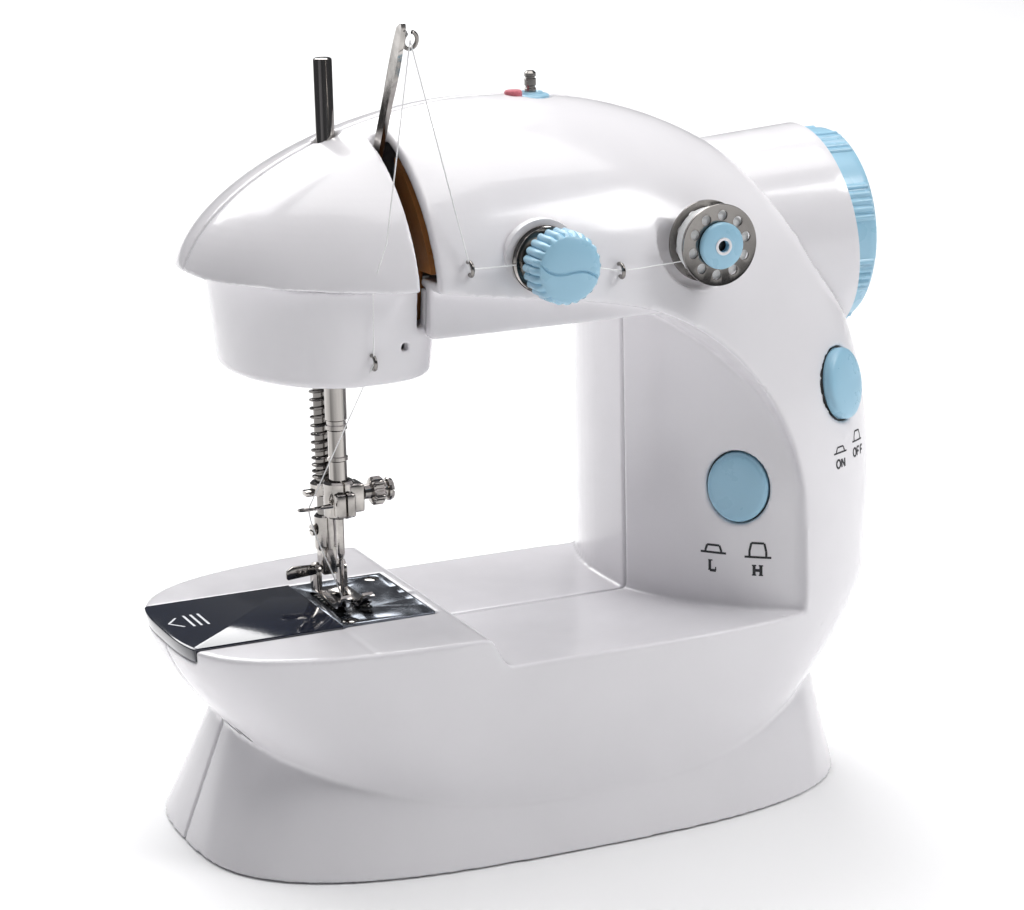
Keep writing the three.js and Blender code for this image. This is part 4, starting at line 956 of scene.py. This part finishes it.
# ------------------------------------------------------------------ thread tension
def make_tension():
    x, z, face = TENSION["x"], TENSION["z"], TENSION["face"]
    front, back, r = TENSION["front"], TENSION["back"], TENSION["r"]

    def flutes(angle, radius):
        if radius < 7.95:
            return radius
        wave = abs(math.cos(12 * angle)) ** 0.7
        return radius - (0.95 * (1 - wave) if radius > 8.3 else 0.55 * (1 - wave))

    knob = turned([(0, front), (3.5, front + 0.05), (6, front + 0.25), (7.5, front + 0.55), (7.9,
                                                                                             front + 0.8),
                   (8.25, front + 1.3), (8.75, front + 2), (r, front + 3), (r, back - 0.7), (r - 0.4,
                                                                                             back - 0.15),
                   (r - 0.9, back), (2.2, back), (1.8, back - 0.4), (1.8, front + 2.6), (0, front + 2.6)],
                  288, "y", (x, 0, z), flutes)
    wave = bezier((-8.3, front + 0.62, 2.9), (-3.2, front - 0.25, -5.2), (1.4, front - 0.25, 3.2),
                  (8.1, front + 0.62, -3.4), 40)
    groove = tube([(x + u, y, z + v) for u, y, v in wave], 0.42, 10)
    cut(knob, groove)
    finish(knob, "tension_knob_fluted", "tension_dial", BLUE, "blue_plastic", "tension_knob", angle=35)

    stud = turned([(0, front + 3), (1.3, front + 3), (1.5, front + 3.3), (1.5, face + 7), (0, face + 7)],
                  32, "y",
                  (x, 0, z))
    finish(stud, "tension_stud_pin", "machine", STEEL, "plate_steel", "tension_stud")
    rim = TENSION["disc"]
    for name, node, y0, lean in (("tension_disc_back", "tension_disc_rear", face - 1.5, -1),
                                 ("tension_disc_outer", "tension_disc_front", face - 2.8, 1)):
        thick = 0.32
        disc = turned([(1.8, y0 + lean * 0.35), (4.5, y0 + lean * 0.35), (rim - 1, y0 + lean * 0.05),
                       (rim - 0.2, y0 - lean * 0.42), (rim, y0 - lean * 0.42 - thick * 0.2),
                       (rim, y0 - lean * 0.42 - thick * lean * 0.8), (rim - 1.2,
                                                                      y0 + lean * 0.05 - thick * lean),
                       (4.5, y0 + lean * 0.35 - thick * lean), (1.8, y0 + lean * 0.35 - thick * lean),
                       (1.8, y0 + lean * 0.35)], 96, "y", (x, 0, z))
        finish(disc, name, "machine", CHROME, "bright_chrome", node, angle=30)
    seat = turned([(2.6, face - 0.2), (9.7, face - 0.2), (9.9, face + 0.3), (9.9, face + 1.8), (8.9,
                                                                                                face + 1.8),
                   (8.7, face + 0.6), (2.6, face + 0.6), (2.6, face - 0.2)], 96, "y", (x, 0, z))
    finish(seat, "tension_seat_ring", "machine", WHITE, "white_plastic", angle=30)
    coil = [(x + (3.2 + 4.2 * t) * math.cos(a), mix(face - 3.9, back + 0.9, t),
             z + (3.2 + 4.2 * t) * math.sin(a))
            for a, t in ((a, a / (2 * math.pi * 4)) for a in steps(0, 2 * math.pi * 4, 120))]
    finish(tube(coil, 0.4, 8), "tension_cone_spring", "machine", STEEL, "plate_steel", "tension_spring")


# ------------------------------------------------------------------ bobbin winder
def make_winder():
    x, z, front, back = WINDER["x"], WINDER["z"], WINDER["front"], WINDER["back"]
    r, flange, drum = WINDER["r"], WINDER["flange"], WINDER["drum"]
    half = [(2.3, front + 0.1), (4.6, front + 0.1), (r - 0.5, front + 0.1), (r - 0.1, front), (r,
                                                                                               front + 0.15),
            (r, front + flange + 0.1), (r - 0.5, front + flange), (drum, front + flange)]
    mirrored = [(radius, front + back - y) for radius, y in reversed(half)]
    bobbin = turned(half + mirrored + [half[0]], 120, "y", (x, 0, z))
    holes = [rod(1.3, front - 1, back + 1, "y", (x + 7.4 * math.cos(a), 0, z + 7.4 * math.sin(a)), 24)
             for a in steps(0.2, 0.2 + 1.8 * math.pi, 9)]
    cut(bobbin, *holes)
    finish(bobbin, "winder_bobbin_metal", "winder", DARK_NICKEL, "plate_steel", "winder_bobbin", angle=30)

    wound = [(drum + 0.05, front + flange + 0.15)]
    turns = 22
    for k in range(turns):
        y0 = mix(front + flange + 0.15, back - flange - 0.15, k / turns)
        y1 = mix(front + flange + 0.15, back - flange - 0.15, (k + 1) / turns)
        wound += [(8.3, y0), (8.48, (y0 + y1) / 2)]
    wound += [(8.3, back - flange - 0.15), (drum + 0.05, back - flange - 0.15), wound[0]]
    finish(turned(wound, 96, "y", (x, 0, z)), "winder_wound_thread", "winder", THREAD, "white_plastic",
           angle=60)

    y0, hub = front - 2.2, WINDER["hub"]
    cap = turned([(1.45, y0 + 0.3), (1.6, y0 + 0.12), (2.1, y0 + 0.12), (2.3, y0 + 0.3), (hub - 1,
                                                                                          y0 + 0.3),
                  (hub - 0.3, y0 + 0.55), (hub, y0 + 1), (hub, front - GAP), (1.45, front - GAP), (1.45,
                                                                                                   y0 + 0.3)],
                 80, "y", (x, 0, z))
    finish(cap, "winder_hub_cap", "winder", BLUE, "blue_plastic", "winder_hub", angle=30)
    ring = turned([(1.5, y0 + 0.1), (1.7, y0), (2, y0), (2.2, y0 + 0.1), (2.2, y0 + 0.3), (1.5, y0 + 0.3),
                   (1.5, y0 + 0.1)],
                  48, "y", (x, 0, z))
    finish(ring, "winder_hub_ring", "winder", WHITE, "white_plastic", angle=30)
    spindle = turned([(0, front + 1), (1.7, front + 1), (2, front + 1.3), (2, -24), (0, -24)], 32, "y", (x,
                                                                                                         0,
                                                                                                         z))
    cut(spindle, block(x - 0.35, x + 0.35, front, front + 8, z - 3, z + 3))
    finish(spindle, "winder_spindle_split", "winder", STEEL, "plate_steel", "winder_spindle", angle=30)


# ------------------------------------------------------------------ thread guides, spool
GUIDES = {"left": (-61.6, -44.75, 149.6), "right": (-21.6, -44.75, 145.2), "head": (-83.6, -35.6, 127.4)}


def make_guides():
    for side, (x, y, z) in GUIDES.items():
        loop = [(x + 0.25 * k / 14, y + 0.4 - 1.7 * math.sin(a), z + 1.7 * math.cos(a))
                for k, a in enumerate(steps(-0.5, math.pi + 0.5, 24))]
        wire = tube(loop, 0.5, 12)
        finish(wire, f"thread_guide_{side}_wire", "machine", DARK_NICKEL, "bright_chrome",
               f"thread_guide_{side}")


def make_spool():
    x, seat, r = SPOOL["x"], SPOOL["seat"], SPOOL["base"]
    base = turned([(1.8, seat - 3), (3.4, seat - 3), (3.4, seat), (r - 0.2, seat), (r, seat + 0.2), (r,
                                                                                                     seat + 1.2),
                   (r - 0.4, seat + 1.55), (r - 1.4, seat + 1.7), (3, seat + 2.2), (2.2, seat + 2.2), (1.8,
                                                                                                       seat + 2),
                   (1.8, seat - 3)], 64, "z", (x, 0, 0))
    finish(base, "spool_base_disc", "machine", BLUE, "blue_plastic", "spool_base", angle=30)
    pin, top = SPOOL["pin"], SPOOL["top"]
    tube_pin = turned([(0, SPOOL["bottom"]), (pin, SPOOL["bottom"]), (pin, seat + 3), (pin - 0.25,
                                                                                       seat + 3.2),
                       (pin - 0.25, seat + 3.6), (pin, seat + 3.8), (pin, seat + 5.4), (pin - 0.3,
                                                                                        seat + 5.6),
                       (pin - 0.3, top - 1.6), (pin, top - 1.4), (pin, top - 0.6), (pin - 0.6, top), (0,
                                                                                                      top)],
                      48, "z", (x, 0, 0))
    finish(tube_pin, "spool_pin_telescoping", "thread_pin", DARK_NICKEL, "bright_chrome", "spool_pin",
           angle=30)
    pad = turned([(0, seat + 1.2), (2, seat + 1.2), (2.3, seat + 1.5), (2.3, seat + 2.7), (2, seat + 3.1),
                  (0, seat + 3.2)], 32, "z", (x - 5.6, -1.8, 0))
    finish(pad, "spool_felt_stop", "machine", FELT, "white_plastic", angle=60)


# ------------------------------------------------------------------ buttons and jacks
def make_buttons():
    wide, tall, proud = BUTTON["wide"], BUTTON["tall"], BUTTON["proud"]
    for node, place, body in (("speed_button", SPEED, "speed_switch"), ("power_button", POWER,
                                                                        "power_switch")):
        levels = [(-BUTTON["deep"], 0), (0.2, 0), (proud - 1.2, 0.05), (proud - 0.75, 0.25), (proud - 0.4,
                                                                                              0.7),
                  (proud - 0.2, 1.5), (proud - 0.08, 3), (proud, 5.5)]
        verts, faces, sides = [], [], 96
        for z, inset in levels:
            verts += [(u, v, z) for u, v in oval(wide - 2 * inset, tall - 2 * inset, sides)]
        for k in range(len(levels) - 1):
            faces += [(k * sides + i, k * sides + (i + 1) % sides, (k + 1) * sides + (i + 1) % sides,
                       (k + 1) * sides + i) for i in range(sides)]
        faces.append(tuple(range(sides - 1, -1, -1)))
        faces.append(tuple(range((len(levels) - 1) * sides, len(levels) * sides)))
        cap = facing(new_object(node, verts, faces), place)
        finish(cap, node + "_cap", body, BLUE, "blue_plastic", node, angle=50)
        liner = cut(prism(oval(wide + 0.86, tall + 0.86), -10, -1.2), prism(oval(wide + 0.3, tall + 0.3),
                                                                            -11, 0))
        finish(facing(liner, place), node + "_liner", "machine", BLACK, "black_plastic", angle=30)


def make_jacks():
    r, z = JACKS["r"], JACKS["z"]
    for node, x in JACKS["places"].items():
        face = rear_face(x, z)
        can = turned([(0, face - 9), (r, face - 9), (r, face - 0.4), (r - 0.4, face), (3.2, face), (2.8,
                                                                                                    face - 0.4),
                      (2.8, face - 7.5), (0, face - 7.5)], 56, "y", (x, 0, z))
        finish(can, node + "_socket", "machine", BLACK, "black_plastic", node, angle=30)
        pin_r = 0.95 if node == "dc_jack" else 0.5
        pin = turned([(0, face - 7.5), (pin_r, face - 7.5), (pin_r, face - 1.4), (pin_r * 0.6, face - 1),
                      (0, face - 1)],
                     24, "y", (x, 0, z))
        finish(pin, node + "_pin", "machine", CHROME, "bright_chrome")


# ------------------------------------------------------------------ underside
def make_underside():
    for place, sy in (("front", -1), ("rear", 1)):
        for side, sx in (("left", -1), ("right", 1)):
            pad = turned([(0, 0.12), (4.6, 0.12), (4.9, 0), (5.9, 0), (6.3, 0.15), (6.5, 0.45), (6.5, 0.9),
                          (0, 0.9)],
                         64, "z", (FEET["x"] + sx * FEET["along"], sy * FEET["across"], 0))
            finish(pad, f"foot_{place}_{side}_pad", "machine", RUBBER, "black_rubber",
                   f"foot_{place}_{side}", angle=30)
    door = block(DOOR["left"], DOOR["right"], -DOOR["half"], DOOR["half"], DOOR["low"], DOOR["high"])
    cut(door, *[block(-75, -58, -20 + 2.4 * k, -18.8 + 2.4 * k, 0, 1.6) for k in range(17)])
    rounded(door, 0.2, 2)
    finish(door, "battery_door_ribbed", "battery_cover", WHITE, "white_plastic", "battery_door", angle=30)


make_skirt()
make_shroud()
make_handwheel()
make_slide_cover()
make_needle_plate()
make_needle_bar()
make_presser()
make_lifter()
make_lever()
make_tension()
make_winder()
make_guides()
make_spool()
make_buttons()
make_jacks()
make_underside()


# ------------------------------------------------------------------ thread along its route
def strand(name, points, body=None):
    wire = tube(points, THREAD_R, 6)
    return finish(wire, name, body, THREAD, "white_plastic")


def make_thread():
    left, right, head = GUIDES["left"], GUIDES["right"], GUIDES["head"]
    disc_y = TENSION["face"] - 2.15
    tx, tz = TENSION["x"], TENSION["z"]
    bobbin_side = (WINDER["x"] - 7.4, disc_y, WINDER["z"] - 3.9)
    wrap = [(tx + 1.75 * math.cos(a), disc_y, tz + 1.75 * math.sin(a)) for a in steps(-0.2, -2.9, 10)]
    right_eye = (right[0], right[1] - 0.5, right[2])
    left_eye = (left[0], left[1] - 0.5, left[2])
    run = [bobbin_side, right_eye] + wrap + [left_eye]
    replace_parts(strand("thread_over_arm", run, "machine"), "upper_thread")

    inside = (NEEDLE["x"] - 3.2, -37.2, HEAD["rim"] + 2)
    head_eye = (head[0], head[1] - 0.6, head[2])
    rising = strand("thread_up_to_lever", [left_eye, LEVER_EYE])
    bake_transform(rising)
    bow = (NEEDLE["x"] - 2.4, -44.9, 158)
    falling = strand("thread_down_to_head", [LEVER_EYE, bow, inside, head_eye])
    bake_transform(falling)

    bar_eye = (NEEDLE["x"] - 9.6, -3.4, 83.9)
    eye = (NEEDLE["x"], -0.4, NEEDLE["tip"] + 5.6)
    first = strand("thread_to_needle_bar", [head_eye, bar_eye])
    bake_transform(first)
    loose = bezier(bar_eye, (NEEDLE["x"] - 9, -4.4, 76), (NEEDLE["x"] - 2.6, -1.6, 66), eye, 18)
    strand("thread_to_needle_eye", loose + [(NEEDLE["x"], 0.6, eye[2])], "needle_carrier")


make_thread()


# ------------------------------------------------------------------ printed marks
def ray_tree(name):
    source = bpy.data.objects[name]
    work = bmesh.new()
    work.from_mesh(source.data)
    tree = BVHTree.FromBMesh(work)
    work.free()
    return tree


def printed(name, outlines, place, target):
    """Flat shapes laid on a moulded face: each is dropped along the place's own facing direction."""
    verts, faces = [], []
    for outline in outlines:
        start = len(verts)
        verts += [(u, v, 0) for u, v in outline]
        faces.append(tuple(range(start, len(verts))))
    flat = new_object(name, verts, faces)
    work = bmesh.new()
    work.from_mesh(flat.data)
    bmesh.ops.triangulate(work, faces=work.faces)
    bmesh.ops.subdivide_edges(work, edges=[e for e in work.edges if e.calc_length() > 1.2], cuts=2)
    bmesh.ops.triangulate(work, faces=work.faces)
    work.to_mesh(flat.data)
    work.free()
    matrix = facing_matrix(place)
    tree = ray_tree(target)
    outward = (matrix.to_3x3() @ Vector((0, 0, 1))).normalized()
    for vertex in flat.data.vertices:
        start = SEAM + (matrix @ vertex.co + outward * PRINT_REACH) * MM
        hit, normal, _, _ = tree.ray_cast(start, -outward, 0.04)
        point = hit + normal * PRINT_LIFT if hit else start - outward * PRINT_REACH * MM
        vertex.co = (point - SEAM) / MM
    return finish(flat, name, "machine", INK, "black_plastic")


def stroke(points, width):
    """A line of the given width through points, as quads."""
    quads = []
    for (x0, y0), (x1, y1) in zip(points, points[1:]):
        length = math.hypot(x1 - x0, y1 - y0)
        nx, ny = -(y1 - y0) / length * width / 2, (x1 - x0) / length * width / 2
        quads.append([(x0 + nx, y0 + ny), (x0 - nx, y0 - ny), (x1 - nx, y1 - ny), (x1 + nx, y1 + ny)])
    return quads


LETTERS = {
    "L": [[(0, 1), (0, 0), (0.58, 0)]],
    "H": [[(0, 0), (0, 1)], [(0.62, 0), (0.62, 1)], [(0, 0.5), (0.62, 0.5)]],
    "O": [[(0.36 + 0.36 * math.cos(a), 0.5 + 0.5 * math.sin(a)) for a in steps(0, 2 * math.pi, 20)]],
    "N": [[(0, 0), (0, 1), (0.62, 0), (0.62, 1)]],
    "F": [[(0, 0), (0, 1), (0.56, 1)], [(0, 0.5), (0.48, 0.5)]],
}


SERIFS = {
    "L": [[(-0.16, 0.95), (0.26, 0.95)], [(-0.16, 0.05), (0.1, 0.05)], [(0.56, 0), (0.56, 0.34)]],
    "H": [[(u - 0.2, v), (u + 0.2, v)] for u in (0, 0.62) for v in (0.05, 0.95)],
}


def lettering(text, x, y, size, width):
    quads = []
    for letter in text:
        for line in LETTERS[letter]:
            quads += stroke([(x + u * size, y + v * size) for u, v in line], width)
        for line in SERIFS.get(letter, []):
            quads += stroke([(x + u * size, y + v * size) for u, v in line], width * 0.45)
        x += size * 0.98
    return quads


def button_icon(x, y, wide, tall, lift, width):
    """A push button seen from the side: its base line and its cap, raised by lift."""
    cap = [(x - wide / 2, y), (x - wide / 2, y + lift), (x - wide / 2 + 0.5, y + lift + tall),
           (x + wide / 2 - 0.5, y + lift + tall), (x + wide / 2, y + lift), (x + wide / 2, y)]
    base = [(x - wide * 0.8, y), (x + wide * 0.8, y)]
    return stroke(cap, width) + stroke(base, width)


def make_prints():
    shell = "front_shell_moulding"
    low = button_icon(-6.6, -18, 4.4, 1.5, 0.5, 0.6) + lettering("L", -7.6, -22.9, 2.9, 0.75)
    high = button_icon(5.4, -18.4, 4.4, 2.2, 1.6, 0.6) + lettering("H", 4.4, -23.4, 2.9, 0.8)
    printed("speed_marks", low + high, SPEED, shell)
    on = button_icon(-3.4, -17.6, 3.4, 1.1, 0.4, 0.45) + lettering("ON", -5.2, -21.6, 2.2, 0.55)
    off = button_icon(5.2, -16.2, 3.4, 1.5, 1.1, 0.45) + lettering("OFF", 2.7, -20.2, 2.2, 0.55)
    printed("power_marks", on + off, POWER, shell)

    top = HULL["top"] + COVER["rise"] + 0.02
    quads = stroke([(-123.3, 6.2), (-126.3, 2.3), (-123.3, -1.6)], 0.55)
    for x in (-121, -119.1, -117.2):
        quads += stroke([(x, -2.4), (x, 7.2)], 0.62)
    verts = [(u, v, top) for quad in quads for u, v in quad]
    faces = [tuple(range(4 * k, 4 * k + 4)) for k in range(len(quads))]
    finish(new_object("arrow", verts, faces), "slide_cover_arrow", "bobbin_cover", PRINT_WHITE,
           "white_plastic")


make_prints()

# ------------------------------------------------------------------ inner pieces kept from the CAD
KEPT = {
    "base_plate": WHITE, "battery_holder": BLACK, "feed_dog": STEEL, "shuttle_hook": CHROME,
    "lower_bobbin": STEEL,
    "lower_shaft": STEEL, "lower_pulley": BLACK, "lower_frame": GREY, "drive_belt": RUBBER,
    "motor_belt": RUBBER,
    "main_shaft": STEEL, "upper_pulley": BLACK, "wheel_pulley": BLACK, "crank_disc": STEEL, "motor": STEEL,
    "motor_pulley": BLACK, "chassis": AMBER, "needle_bar_yoke": STEEL, "circuit_board": GREEN,
}
for node_name, material in KEPT.items():
    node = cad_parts[node_name]
    node.data.materials.clear()
    node.data.materials.append(material)
    edge = node.modifiers.new("edge", "BEVEL")
    edge.width = 0.00015
    edge.segments = 2
    edge.limit_method = "ANGLE"


# ------------------------------------------------------------------ stage, lights, camera
def make_stage():
    floor_mat, floor_shader = shader("stage_paper", (0.97, 0.97, 0.975), 0.7)
    bump(floor_mat, floor_shader, noise(floor_mat, 400, 3), 0.00002)
    bpy.ops.mesh.primitive_plane_add(size=12, location=(0, 2, 0))
    floor = bpy.context.object
    floor.name = "stage_floor"
    floor.data.materials.append(floor_mat)


def area_light(name, place, target, size, power, color=(1, 1, 1)):
    lamp = bpy.data.lights.new(name, "AREA")
    lamp.size = size
    lamp.energy = power
    lamp.color = color
    obj = bpy.data.objects.new(name, lamp)
    bpy.context.scene.collection.objects.link(obj)
    obj.location = place
    obj.rotation_euler = (Vector(target) - Vector(place)).to_track_quat("-Z", "Y").to_euler()


def make_lights():
    world = bpy.data.worlds.new("studio")
    world.use_nodes = True
    world.node_tree.nodes["Background"].inputs["Color"].default_value = (0.9, 0.92, 1, 1)
    world.node_tree.nodes["Background"].inputs["Strength"].default_value = 0.1
    bpy.context.scene.world = world
    area_light("top_key", (0.1, 0.05, 1.25), (0, 0, 0.1), 1.0, 10, (1, 0.99, 0.98))
    area_light("right_key", (0.8, -0.7, 1.0), (0, 0, 0.1), 0.5, 7)
    area_light("left_fill", (-1.1, -0.7, 0.5), (0, 0, 0.1), 0.8, 0.35, (0.95, 0.94, 1))
    area_light("back_glow", (0, 2.2, 2), (0, 1.6, 0), 2.4, 80)


def make_camera():
    azimuth, elevation, roll = math.radians(23.9), math.radians(14.6), math.radians(-1.32)
    back = Vector((-math.sin(azimuth) * math.cos(elevation), -math.cos(azimuth) * math.cos(elevation),
                   math.sin(elevation)))
    right = Vector((math.cos(azimuth), -math.sin(azimuth), 0))
    up = back.cross(right)
    c, s = math.cos(roll), math.sin(roll)
    axes = Matrix((right * c + up * s, up * c - right * s, back)).transposed()
    data = bpy.data.cameras.new("studio_camera")
    data.sensor_width = 36
    data.lens = 105.5
    data.clip_start = 0.05
    camera = bpy.data.objects.new("studio_camera", data)
    bpy.context.scene.collection.objects.link(camera)
    camera.matrix_world = Matrix.Translation(SEAM + Vector((-338.2, -691.2, 286.8)) * MM) @ axes.to_4x4()
    bpy.context.scene.camera = camera


make_stage()
make_lights()
make_camera()
bpy.context.scene.view_settings.view_transform = "Standard"
